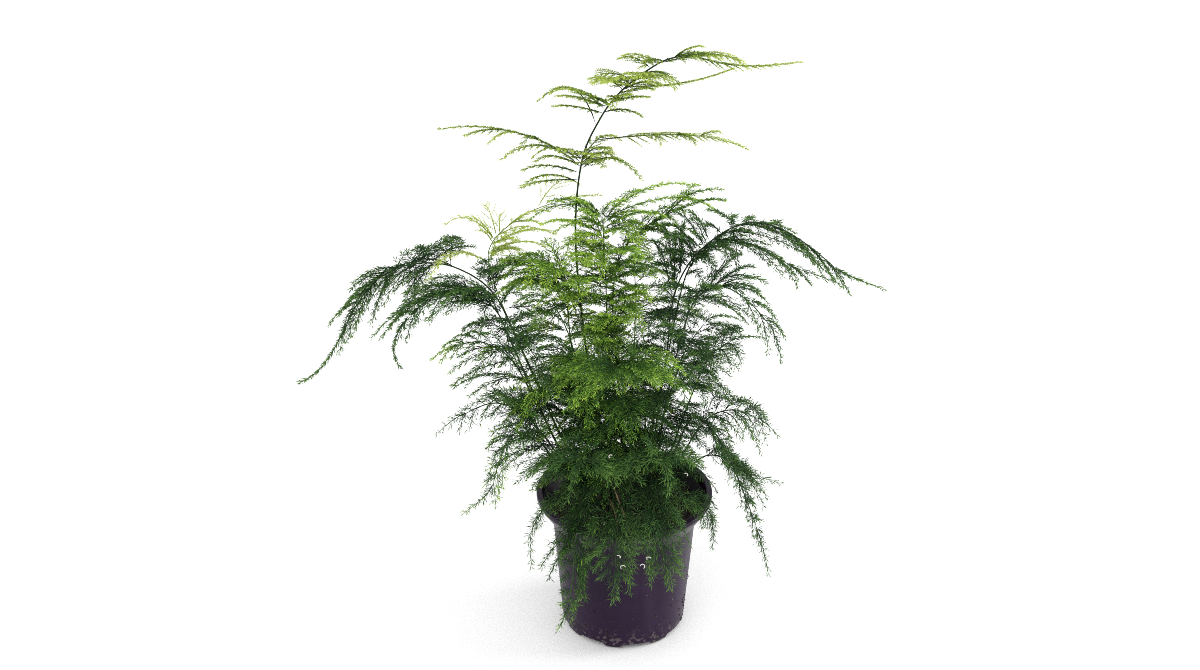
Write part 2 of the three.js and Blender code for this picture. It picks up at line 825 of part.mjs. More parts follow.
const fern = new THREE.Group();
fern.add(namedMesh("pot", makePot(), materials.plastic));
fern.add(namedMesh("soil", makeSoil([...fronds, ...dryStalks].map(({ foot }) => foot)), materials.soil));
for (const { frond, solid } of plants) fern.add(namedMesh(frond.name, solid, materials[frond.tone]));
for (const { name, solid } of stalks) fern.add(namedMesh(name, solid, materials.dry));

export default fern;
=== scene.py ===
import math

import bpy
import numpy as np
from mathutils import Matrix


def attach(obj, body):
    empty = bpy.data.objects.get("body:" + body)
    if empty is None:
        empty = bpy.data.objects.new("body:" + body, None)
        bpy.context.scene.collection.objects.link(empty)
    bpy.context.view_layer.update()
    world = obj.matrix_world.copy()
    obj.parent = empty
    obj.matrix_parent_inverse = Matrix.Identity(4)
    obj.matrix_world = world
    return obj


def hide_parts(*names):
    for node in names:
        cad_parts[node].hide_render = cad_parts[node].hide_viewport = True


# A potted asparagus fern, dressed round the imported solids. Lengths are worked out in millimetres, in the
# part's own frame (+Z up, -Y to the front), and become metres when a mesh is written. Random draws are
# seeded.
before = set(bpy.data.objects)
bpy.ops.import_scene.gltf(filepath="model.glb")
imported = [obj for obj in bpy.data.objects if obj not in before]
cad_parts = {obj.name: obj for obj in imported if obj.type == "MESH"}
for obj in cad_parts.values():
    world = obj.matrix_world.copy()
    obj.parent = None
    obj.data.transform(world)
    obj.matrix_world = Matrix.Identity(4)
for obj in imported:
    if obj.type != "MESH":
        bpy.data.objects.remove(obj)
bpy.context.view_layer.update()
print("frame loaded:", len(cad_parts), "nodes")

mm = 0.001
mmPerMetre = 1000
up = np.array([0.0, 0.0, 1.0])
level = np.array([1, 1, 0])
body = "root"
total = {"triangles": 0}


# Shader maths: a socket that takes + - * ** and adds a Math node for each

class Value:
    def __init__(self, shader, socket):
        self.shader = shader
        self.socket = socket

    def math(self, operation, first, second):
        return self.shader.add("ShaderNodeMath", {"operation": operation}, [first, second])

    def __add__(self, other):
        return self.math("ADD", self, other)

    def __sub__(self, other):
        return self.math("SUBTRACT", self, other)

    def __mul__(self, other):
        return self.math("MULTIPLY", self, other)

    def __pow__(self, other):
        return self.math("POWER", self, other)


class Shader:
    def __init__(self, name):
        self.material = bpy.data.materials.new(name)
        self.material.use_nodes = True
        self.tree = self.material.node_tree
        self.tree.nodes.clear()

    # a node of a kind: its settings, then the values or links of its inputs, by name or in order
    def add(self, kind, settings=None, inputs=None, output=0):
        node = self.tree.nodes.new(kind)
        for name, value in (settings or {}).items():
            if name == "stops":
                self.fillRamp(node.color_ramp, value)
            else:
                setattr(node, name, value)
        pairs = inputs.items() if isinstance(inputs, dict) else enumerate(inputs or [])
        for name, value in pairs:
            if isinstance(value, Value):
                self.tree.links.new(value.socket, node.inputs[name])
            else:
                node.inputs[name].default_value = value
        return Value(self, node.outputs[output]) if node.outputs else None

    def fillRamp(self, ramp, stops):
        while len(ramp.elements) < len(stops):
            ramp.elements.new(1.0)
        for element, (place, colour) in zip(ramp.elements, stops):
            element.position = place
            element.color = (*colour, 1.0)

    def attribute(self, name):
        settings = {"attribute_type": "GEOMETRY", "attribute_name": name}
        return self.add("ShaderNodeAttribute", settings, output="Fac")

    def place(self, stretch=(1.0, 1.0, 1.0)):
        coordinates = self.add("ShaderNodeTexCoord", output="Object")
        return self.add("ShaderNodeMapping", {}, {"Vector": coordinates, "Scale": stretch})

    def axes(self):
        place = self.place()
        return [self.add("ShaderNodeSeparateXYZ", {}, [place], output=name) for name in "XYZ"]

    def height(self):
        return self.add("ShaderNodeSeparateXYZ", {}, [self.place()], output="Z")

    def noise(self, scale, detail=2.0, stretch=(1.0, 1.0, 1.0)):
        inputs = {"Vector": self.place(stretch), "Scale": scale, "Detail": detail}
        return self.add("ShaderNodeTexNoise", {}, inputs)

    def cells(self, scale):
        return self.add("ShaderNodeTexVoronoi", {}, {"Vector": self.place(), "Scale": scale})

    # goes smoothly from 0 at "low" to 1 at "high", which may be the smaller number
    def rise(self, value, low, high):
        settings = {"interpolation_type": "SMOOTHSTEP"}
        return self.add("ShaderNodeMapRange", settings, {"Value": value, "From Min": low, "From Max": high})

    def ramp(self, value, stops):
        return self.add("ShaderNodeValToRGB", {"stops": stops}, [value])

    def mix(self, factor, first, second, blend="MIX"):
        first, second = [c if isinstance(c, Value) else (*c, 1.0) for c in (first, second)]
        settings = {"data_type": "RGBA", "blend_type": blend}
        return self.add("ShaderNodeMix", settings, {0: factor, 6: first, 7: second}, output=2)

    def bump(self, height, distance, strength=1.0):
        return self.add("ShaderNodeBump", {}, {"Strength": strength, "Distance": distance, "Height": height})

    # the finished surface: a Principled shader with these inputs, such as Base_Color for "Base Color"
    def surface(self, **sockets):
        inputs = {name.replace("_", " "): value for name, value in sockets.items()}
        shader = self.add("ShaderNodeBsdfPrincipled", {}, inputs)
        self.add("ShaderNodeOutputMaterial", {}, {"Surface": shader})
        return self.material


# Meshes from whole arrays

class Bunch:
    # gathers points and triangles, with three facts of each point: growth (0 old to 1 young), shade (the tone
    # of its own spray or lump) and bark (0 on needles to 1 on old stems)
    def __init__(self):
        self.points = []
        self.triangles = []
        self.facts = []
        self.smooth = []
        self.count = 0

    def add(self, points, triangles, facts, smooth=False):
        self.points.append(points.reshape(-1, 3))
        self.triangles.append(triangles.reshape(-1, 3) + self.count)
        self.facts.append(np.broadcast_to(facts, (len(self.points[-1]), 3)))
        self.smooth.append(np.full(len(self.triangles[-1]), smooth))
        self.count += len(self.points[-1])

    def piece(self, name, material, slot, replaced=None):
        points = np.concatenate(self.points) * mm
        triangles = np.concatenate(self.triangles)
        facts = np.concatenate(self.facts)
        mesh = bpy.data.meshes.new(name)
        mesh.vertices.add(len(points))
        mesh.vertices.foreach_set("co", points.astype(np.float32).ravel())
        mesh.loops.add(3 * len(triangles))
        mesh.loops.foreach_set("vertex_index", triangles.astype(np.int32).ravel())
        mesh.polygons.add(len(triangles))
        mesh.polygons.foreach_set("loop_start", np.arange(0, 3 * len(triangles), 3, dtype=np.int32))
        mesh.polygons.foreach_set("use_smooth", np.concatenate(self.smooth))
        for column, fact in enumerate(("growth", "shade", "bark")):
            values = mesh.attributes.new(fact, "FLOAT", "POINT").data
            values.foreach_set("value", facts[:, column].astype(np.float32))
        mesh.update(calc_edges=True)
        mesh.materials.append(material)
        made = bpy.data.objects.new(name, mesh)
        bpy.context.scene.collection.objects.link(made)
        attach(made, body)
        if replaced:
            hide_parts(replaced)
        total["triangles"] += len(triangles)
        return made


# Triangles of a closed skin over rings of corners. Point 0 closes it before the first ring, and the last
# point after the last ring.
def ringTriangles(rings, sides):
    ring, corner = np.meshgrid(np.arange(rings - 1), np.arange(sides), indexing="ij")
    after = (corner + 1) % sides
    a, b = 1 + ring * sides + corner, 1 + ring * sides + after
    walls = np.stack([a, b, b + sides, a, b + sides, a + sides], axis=-1).reshape(-1, 3)
    corner = np.arange(sides)
    after = (corner + 1) % sides
    first = np.stack([np.zeros(sides, int), 1 + after, 1 + corner], axis=-1)
    last = 1 + (rings - 1) * sides
    end = np.stack([last + corner, last + after, np.full(sides, last + sides)], axis=-1)
    return np.concatenate([first, walls, end])


def unit(vectors):
    return vectors / np.maximum(np.linalg.norm(vectors, axis=-1, keepdims=True), 1e-9)


# Many tubes at once. Centres is tubes x points x 3, and the first and last point close the tube. Each other
# point carries a ring: centre + radius * (cos(angle) * first + sin(angle) * second), with first and second
# square to the path and to each other.
def tubes(centres, radii, sides, first):
    along = unit(np.gradient(centres, axis=1))[:, 1:-1, None]
    second = unit(np.cross(along, first[:, None, None]))
    first = np.cross(second, along)
    angle = (2 * np.pi * np.arange(sides) / sides)[None, None, :, None]
    spokes = np.cos(angle) * first + np.sin(angle) * second
    rings = centres[:, 1:-1, None] + radii[:, 1:-1, None, None] * spokes
    flat = rings.reshape(len(centres), -1, 3)
    points = np.concatenate([centres[:, :1], flat, centres[:, -1:]], axis=1)
    template = ringTriangles(centres.shape[1] - 2, sides)
    triangles = template[None] + (points.shape[1] * np.arange(len(centres)))[:, None, None]
    return points, triangles


# The facts of each point of the tubes, from the facts of each centre
def tubeFacts(facts, sides):
    rings = np.repeat(facts[:, 1:-1], sides, axis=1)
    return np.concatenate([facts[:, :1], rings, facts[:, -1:]], axis=1).reshape(-1, 3)


# A solid turned about +Z, as a grid of inner points and the two points on the axis. Point (v, u) of the grid
# is (radius(v) cos(angle), radius(v) sin(angle), height(v)), at the angle 2 pi u / segments.
def turned(outline, segments):
    radius, height = np.array(outline).T
    angle = (2 * np.pi * np.arange(segments) / segments)[None]
    inner = slice(1, -1)
    x = radius[inner, None] * np.cos(angle)
    y = radius[inner, None] * np.sin(angle)
    z = height[inner, None] + 0 * angle
    grid = np.stack([x, y, z], axis=-1)
    return grid, np.array([0, 0, height[0]]), np.array([0, 0, height[-1]])


def turnedPoints(grid, first, last):
    return np.concatenate([first[None], grid.reshape(-1, 3), last[None]])


# An outline from [radius, height, rounding] corners. Each corner becomes a quadratic curve that starts and
# ends "rounding" away from it: (1-s)^2 start + 2 s (1-s) corner + s^2 end. A holding point on each side,
# "hold" times as far from the corner, keeps the faces beside it flat.
def rounded(corners, steps=3, hold=1.6):
    corners = np.array(corners, float)
    outline = [corners[0, :2]]
    for before, corner, after in zip(corners, corners[1:], corners[2:]):
        place, size = corner[:2], corner[2]
        back, on = unit(before[:2] - place), unit(after[:2] - place)
        share = np.linspace(0, 1, steps + 1)[:, None]
        curve = (1 - share) ** 2 * (place + size * back) + 2 * share * (1 - share) * place
        curve = curve + share**2 * (place + size * on)
        outline += [place + hold * size * back, *curve, place + hold * size * on]
    return np.array([*outline, corners[-1, :2]])


# The same outline with points added so that no step is longer than "step"
def evened(outline, step):
    points = [outline[0]]
    for start, end in zip(outline, outline[1:]):
        parts = max(1, math.ceil(np.linalg.norm(end - start) / step))
        points += [start + (end - start) * k / parts for k in range(1, parts + 1)]
    return np.array(points)


# The radius of an outline of [radius, height] points at a height, by straight lines between them
def radiusAt(outline, height):
    radii, heights = np.array(outline, float).T
    return np.interp(height, heights, radii)


# A sum of sine waves in the plane, where shorter waves are lower:
# length / longest * sin(x * k * cos(turn) + y * k * sin(turn) + start), with k = 2 pi / length
def ripples(x, y, shortest, longest, count, rng):
    waves = 0 * x
    for length in np.geomspace(longest, shortest, count):
        turn, start = rng.uniform(0, 2 * np.pi, 2)
        k = 2 * np.pi / length
        waves = waves + length / longest * np.sin(k * (x * math.cos(turn) + y * math.sin(turn)) + start)
    return waves


# The pot: a wall that tapers to a notched foot ring, a flared collar with a rolled lip, and a floor whose
# raised channel has drain holes. "Oval" is how far it is out of round, and "ovalTurn" sets where it's widest.
pot = {
    "height": 102, "rimRadius": 60, "lipWidth": 4, "lipDepth": 6.5, "bandHeight": 3.5,
    "collarLine": 83.5, "collarRadius": 50.2, "neckRadius": 49, "baseRadius": 43.3, "baseHeight": 4.5,
    "footRadius": 40.8, "footWidth": 3.3, "channelHeight": 5, "centreRadius": 17,
    "wall": 1.5, "collarWall": 1.8, "notchCount": 8, "notchWidth": 18, "notchHeight": 4.2,
    "notchTurn": 12.7, "notchEdge": 1.2, "notchPress": 0.95,
    "drainCount": 4, "drainRadius": 4, "drainCircle": 28, "plugFrom": 2, "plugTo": 9, "plugSegments": 32,
    "segments": 144, "step": 10, "oval": 0.0025, "ovalTurn": 0.6,
}

lipInner = pot["rimRadius"] - pot["lipWidth"]
floorTop = pot["channelHeight"] + pot["wall"]
footInner = pot["footRadius"] - pot["footWidth"]
wellRadius = pot["centreRadius"] - pot["wall"]
potInside = [
    (pot["baseRadius"] - pot["wall"], floorTop),
    (pot["neckRadius"] - pot["wall"], pot["collarLine"] - pot["wall"] - 1),
    (pot["collarRadius"] - pot["collarWall"], pot["collarLine"]),
    (lipInner, pot["height"] - pot["lipDepth"]),
    (lipInner, pot["height"]),
]
potOutside = [
    (pot["baseRadius"], pot["baseHeight"]),
    (pot["neckRadius"], pot["collarLine"] - pot["wall"]),
    (pot["collarRadius"], pot["collarLine"]),
    (pot["rimRadius"], pot["height"] - pot["bandHeight"]),
    (pot["rimRadius"], pot["height"]),
]


# The pot's outline from the middle of its underside, up outside and down inside, as corners with a rounding
def potOutline():
    centre, channel = pot["centreRadius"], pot["channelHeight"]
    under = [(0, 0, 0), (centre, 0, 0.4), (centre, channel, 0.5)]
    ringInside = [(footInner, channel, 0.5), (footInner, 0, 0.4)]
    foot = [(pot["footRadius"], 0, 0.5), (pot["baseRadius"] - 0.6, 1.6, 0.6), (*potOutside[0], 1)]
    collar = [(*potOutside[1], 0.3), (*potOutside[2], 0.4), (*potOutside[3], 0.5), (*potOutside[4], 0.7)]
    lip = [(lipInner, pot["height"], 0.6), (lipInner, pot["height"] - pot["lipDepth"], 1)]
    inside = [(*potInside[2], 0.6), (*potInside[1], 0.6), (*potInside[0], 1.2)]
    well = [(wellRadius, floorTop, 0.4), (wellRadius, pot["wall"], 0.4), (0, pot["wall"], 0)]
    return evened(rounded([*under, *ringInside, *foot, *collar, *lip, *inside, *well]), pot["step"])


# The turned outline, squeezed into a faint oval: x and y are multiplied by
# 1 + oval * sin(2 angle + ovalTurn) * z / height.
# Where the foot passes a notch its points are pressed up towards the notch's height:
# z + (notchHeight - z) * window * notchPress, where the window is smooth from 0 to 1 over the notch's edge.
def makePot():
    grid, first, last = turned(potOutline(), pot["segments"])
    angle = np.arctan2(grid[..., 1], grid[..., 0])
    radius = np.hypot(grid[..., 0], grid[..., 1])
    pitch = 2 * np.pi / pot["notchCount"]
    start = math.radians(pot["notchTurn"] - 90)
    aside = np.abs((angle - start + pitch / 2) % pitch - pitch / 2) * pot["footRadius"]
    window = np.clip((pot["notchWidth"] / 2 + pot["notchEdge"] - aside) / pot["notchEdge"], 0, 1)
    window = window * window * (3 - 2 * window)
    low = (grid[..., 2] < pot["notchHeight"]) & (radius > footInner - 1)
    lifted = grid[..., 2] + (pot["notchHeight"] - grid[..., 2]) * window * pot["notchPress"]
    grid[..., 2] = np.where(low, lifted, grid[..., 2])
    squeeze = 1 + pot["oval"] * np.sin(2 * angle + pot["ovalTurn"]) * grid[..., 2] / pot["height"]
    grid[..., :2] *= squeeze[..., None]
    bunch = Bunch()
    points = turnedPoints(grid, first, last)
    bunch.add(points, ringTriangles(len(grid), pot["segments"]), (0, 0, 0), smooth=True)
    made = bunch.piece("pot_moulded", plastic, "pot_plastic", "pot")
    pierce(made)
    return made


# The drain holes, cut through the raised channel by four plugs
def pierce(made):
    plugs = Bunch()
    radius, low, high = pot["drainRadius"], pot["plugFrom"], pot["plugTo"]
    outline = rounded([(0, low, 0), (radius, low, 0.1), (radius, high, 0.1), (0, high, 0)])
    grid, first, last = turned(outline, pot["plugSegments"])
    for k in range(pot["drainCount"]):
        turn = 2 * np.pi * k / pot["drainCount"]
        across = pot["drainCircle"] * np.array([math.cos(turn), math.sin(turn), 0])
        points = turnedPoints(grid, first, last) + across
        plugs.add(points, ringTriangles(len(grid), pot["plugSegments"]), (0, 0, 0))
    mesh = bpy.data.meshes.new("plugs")
    triangles = np.concatenate(plugs.triangles)
    mesh.from_pydata((np.concatenate(plugs.points) * mm).tolist(), [], triangles.tolist())
    cutter = bpy.data.objects.new("plugs", mesh)
    bpy.context.scene.collection.objects.link(cutter)
    cut = made.modifiers.new("drains", "BOOLEAN")
    cut.operation, cut.object, cut.solver = "DIFFERENCE", cutter, "EXACT"
    graph = bpy.context.evaluated_depsgraph_get()
    finished = bpy.data.meshes.new_from_object(made.evaluated_get(graph))
    made.modifiers.clear()
    made.data = finished
    bpy.data.objects.remove(cutter)


# The mask of the painted shade inside the pot: 1 on the inner wall of the collar under its lip, and 0
# elsewhere.
# The collar's outer wall is at the radius collarRadius + slope * (z - collarLine), and its inner wall is the
# wall's thickness farther in.
def innerWallShade(shader):
    x, y, z = shader.axes()
    radius = (x * x + y * y) ** 0.5 * mmPerMetre
    height = z * mmPerMetre
    bandFoot = pot["height"] - pot["bandHeight"]
    slope = (pot["rimRadius"] - pot["collarRadius"]) / (bandFoot - pot["collarLine"])
    outer = (height - pot["collarLine"]) * slope + pot["collarRadius"]
    return shader.rise(outer - radius, 0.7, 1.2) * shader.rise(height, bandFoot, bandFoot - 1)


# Aubergine plastic: pale wear in upright streaks, painted shade on the inner wall under the lip, dust round
# the foot and pale flecks, most of them low down
def plasticMaterial():
    shader = Shader("auberginePlastic")
    height = shader.height()
    cloud = shader.noise(22, 3)
    streaks = shader.noise(60, 3, (1, 1, 0.12))
    grain = shader.noise(900, 1)
    specks = shader.cells(260)
    dusty = shader.rise(height, 0.02, 0.002) * shader.rise(shader.noise(330, 3), 0.52, 0.66)
    fleck = shader.rise(specks, 0.13, 0.04) * shader.rise(shader.noise(120, 1), 0.56, 0.66)
    low = shader.rise(height, 0.075, 0.006)
    flecks = fleck * (low * 0.85 + 0.12)
    worn = shader.rise(streaks, 0.56, 0.74)
    colour = shader.ramp(cloud, [(0.3, (0.011, 0.0038, 0.017)), (0.7, (0.022, 0.0086, 0.031))])
    colour = shader.mix(worn * 0.08, colour, (0.12, 0.095, 0.13))
    # painted shade: the inner wall of the collar under the lip is darkened nearly to black
    colour = shader.mix(innerWallShade(shader) * 0.75, colour, (0.004, 0.003, 0.004))
    colour = shader.mix(dusty * 0.35, colour, (0.3, 0.27, 0.24))
    colour = shader.mix(flecks, colour, (0.7, 0.68, 0.66))
    rough = cloud * 0.14 + worn * 0.12 + dusty * 0.3 + flecks * 0.3 + 0.3
    relief = shader.bump(grain * 0.25 + cloud * 0.9 + flecks * 0.6, 0.00025, 0.7)
    return shader.surface(Base_Color=colour, Roughness=rough, Normal=relief, Specular_IOR_Level=0.12)


plastic = plasticMaterial()
makePot()
print("pot:", total["triangles"], "triangles so far")


# The soil, with crumbs and perlite on it, crumbs on the pot and pale curled flakes in the low sprays. Heaps
# and lumps are waves: the shortest, the longest, how many and how high. Sizes and heights are the lowest and
# the highest, and "clingingTurn" is the middle and the spread of an angle in degrees.
soil = {
    "seatGap": 0.3, "top": 88, "segments": 128, "ring": 1.4, "rim": 4, "heaps": (14, 40, 6, 0.45),
    "lumps": (2.6, 8, 16, 0.3), "relief": 2.2, "crumbCount": 620, "crumbSizes": (0.7, 2.6),
    "perliteCount": 26, "perliteSizes": (0.9, 2.2), "strewnTo": 2.5,
    "clingingCount": 70, "clingingSizes": (0.5, 1.5), "clingingHeights": (5, 45), "clingingTurn": (-25, 50),
    "curls": [(-5, -77, 98), (-2, -77, 90), (14, -76, 96), (10, -76, 90), (-10, -62, 161), (38, -46, 139)],
    "curlRadius": 1.5, "curlThickness": 0.32, "curlTurn": 243, "curlPoints": 9,
}


# How far the soil's top stands above its level: relief * (half the heaps + 0.7 lumps), sinking to the wall
def soilRelief(x, y):
    rng = np.random.default_rng(11)
    broad, fine = [ripples(x, y, *waves, rng) * high for *waves, high in (soil["heaps"], soil["lumps"])]
    edge = radiusAt(potInside, soil["top"])
    fall = np.clip((edge - np.hypot(x, y)) / soil["rim"], 0, 1)
    return soil["relief"] * (0.5 * broad + 0.7 * fine) * fall


# The soil as one turned solid inside the pot, the gap away from it, with the relief on its top
def makeSoil():
    bottom, ledge, gap = pot["wall"] + soil["seatGap"], floorTop + soil["seatGap"], soil["seatGap"]
    edge = radiusAt(potInside, soil["top"]) - gap
    lower = [(0, bottom), (wellRadius - gap, bottom), (wellRadius - gap, ledge)]
    heights = [ledge, *np.linspace(20, 80, 4), pot["collarLine"], soil["top"] - 1]
    side = [(radiusAt(potInside, z) - gap, z) for z in heights]
    surface = [(r, soil["top"]) for r in np.arange(edge, 0.6, -soil["ring"])]
    outline = [*lower, *side, *surface, (0, soil["top"])]
    grid, first, last = turned(outline, soil["segments"])
    isTop = grid[..., 2] > soil["top"] - 0.5
    grid[..., 2] += np.where(isTop, soilRelief(grid[..., 0], grid[..., 1]), 0)
    last[2] += soilRelief(0.0, 0.0)
    bunch = Bunch()
    points = turnedPoints(grid, first, last)
    bunch.add(points, ringTriangles(len(grid), soil["segments"]), (0, 0.5, 0), smooth=True)
    bunch.piece("soil_bed", earth, "soil", "soil")


# Lumps: icosahedra with each corner moved in or out at random, turned and stretched
def lumps(bunch, centres, sizes, rng, flat=0.8):
    golden = (1 + math.sqrt(5)) / 2
    corners = [(a, b * golden, 0) for a in (-1, 1) for b in (-1, 1)]
    corners = [*corners, *[(0, a, b) for a, b, _ in corners], *[(b, 0, a) for a, b, _ in corners]]
    corners = unit(np.array(corners))
    gaps = np.linalg.norm(corners[:, None] - corners[None], axis=-1)
    near = (gaps > 0.1) & (gaps < 1.1)
    faces = [
        (i, j, k)
        for i in range(len(corners)) for j in range(len(corners)) for k in range(len(corners))
        if i < j and i < k and near[i, j] and near[j, k] and near[i, k]
        and np.dot(np.cross(corners[j] - corners[i], corners[k] - corners[i]), corners[i]) > 0
    ]
    count = len(centres)
    shape = corners[None] * rng.uniform(0.7, 1.25, (count, len(corners), 1))
    shape = shape * rng.uniform(0.7, 1.3, (count, 1, 3))
    axes = np.linalg.qr(rng.normal(size=(count, 3, 3)))[0]
    axes[:, :, 0] *= np.sign(np.linalg.det(axes))[:, None]
    shape = np.einsum("nij,nkj->nki", axes, shape) * (0.5 * sizes)[:, None, None]
    shape[..., 2] *= flat
    points = centres[:, None] + shape
    triangles = np.array(faces)[None] + len(corners) * np.arange(count)[:, None, None]
    shade = np.repeat(rng.uniform(0, 1, count), len(corners))
    facts = np.stack([0 * shade, shade, 0 * shade], axis=-1)
    bunch.add(points, triangles, facts)


# Crumbs and perlite strewn evenly over the soil: sizes are smallest + (largest - smallest) * random^2.5
def makeCrumbs():
    rng = np.random.default_rng(23)
    edge = radiusAt(potInside, soil["top"]) - soil["strewnTo"]
    for name, material, kind in (("soil_crumbs", earth, "crumb"), ("perlite_grains", perlite, "perlite")):
        count, (smallest, largest) = soil[kind + "Count"], soil[kind + "Sizes"]
        reach = edge * np.sqrt(rng.uniform(0, 1, count))
        turn = rng.uniform(0, 2 * np.pi, count)
        x, y = reach * np.cos(turn), reach * np.sin(turn)
        sizes = smallest + (largest - smallest) * rng.uniform(0, 1, count) ** 2.5
        centres = np.stack([x, y, soil["top"] + soilRelief(x, y) + 0.2 * sizes], axis=-1)
        bunch = Bunch()
        lumps(bunch, centres, sizes, rng)
        if name == "soil_crumbs":
            lumps(bunch, *clinging(rng), rng, flat=1)
        bunch.piece(name, material, "soil")


# Pale curled flakes caught in the low sprays: each is a tube bent to an open ring
def makeCurls():
    rng = np.random.default_rng(61)
    places = np.array(soil["curls"], float)
    turn = np.linspace(0, np.radians(soil["curlTurn"]), soil["curlPoints"])[None, :, None]
    turn = turn + rng.uniform(0, 6, (len(places), 1, 1))
    first = unit(rng.normal(size=(len(places), 1, 3)) * np.array([1, 0.3, 1]))
    second = unit(np.cross(first, np.array([0.2, 1, 0.3])))
    reach = soil["curlRadius"] * rng.uniform(0.75, 1.2, (len(places), 1, 1))
    centres = places[:, None] + reach * (first * np.cos(turn) + second * np.sin(turn))
    radii = np.full(centres.shape[:2], soil["curlThickness"])
    points, triangles = tubes(centres, radii, 5, np.cross(first, second)[:, 0])
    bunch = Bunch()
    bunch.add(points, triangles, (0, 0.5, 0), smooth=True)
    bunch.piece("pale_curls", perlite, "soil")


# Crumbs that cling to the outside of the pot, most of them low down and on the right: centres and sizes
def clinging(rng):
    count, (lowest, highest) = soil["clingingCount"], soil["clingingHeights"]
    turn = np.radians(rng.normal(*soil["clingingTurn"], count))
    height = lowest + (highest - lowest) * rng.uniform(0, 1, count) ** 2
    sizes = rng.uniform(*soil["clingingSizes"], count)
    reach = radiusAt(potOutside, height) + 0.15 * sizes
    return np.stack([reach * np.cos(turn), reach * np.sin(turn), height], axis=-1), sizes


def earthMaterial():
    shader = Shader("pottingSoil")
    shade = shader.attribute("shade")
    lumpy, fine = shader.noise(260, 4), shader.noise(1100, 2)
    dark, brown, pale = (0.006, 0.004, 0.003), (0.024, 0.015, 0.01), (0.085, 0.055, 0.035)
    colour = shader.ramp(lumpy * 0.75 + shade * 0.35, [(0.25, dark), (0.6, brown), (0.95, pale)])
    relief = shader.bump(lumpy + fine * 0.4, 0.0012)
    rough = shader.rise(fine, 0.2, 0.8) * 0.15 + 0.8
    return shader.surface(Base_Color=colour, Roughness=rough, Normal=relief)


def perliteMaterial():
    shader = Shader("perlite")
    pits = shader.noise(1500, 3)
    colour = shader.ramp(pits, [(0.35, (0.42, 0.4, 0.36)), (0.65, (0.8, 0.79, 0.75))])
    relief = shader.bump(pits, 0.0004)
    return shader.surface(Base_Color=colour, Roughness=pits * 0.3 + 0.6, Normal=relief)


earth = earthMaterial()
perlite = perliteMaterial()
makeSoil()
makeCrumbs()
makeCurls()
print("soil:", total["triangles"], "triangles so far")
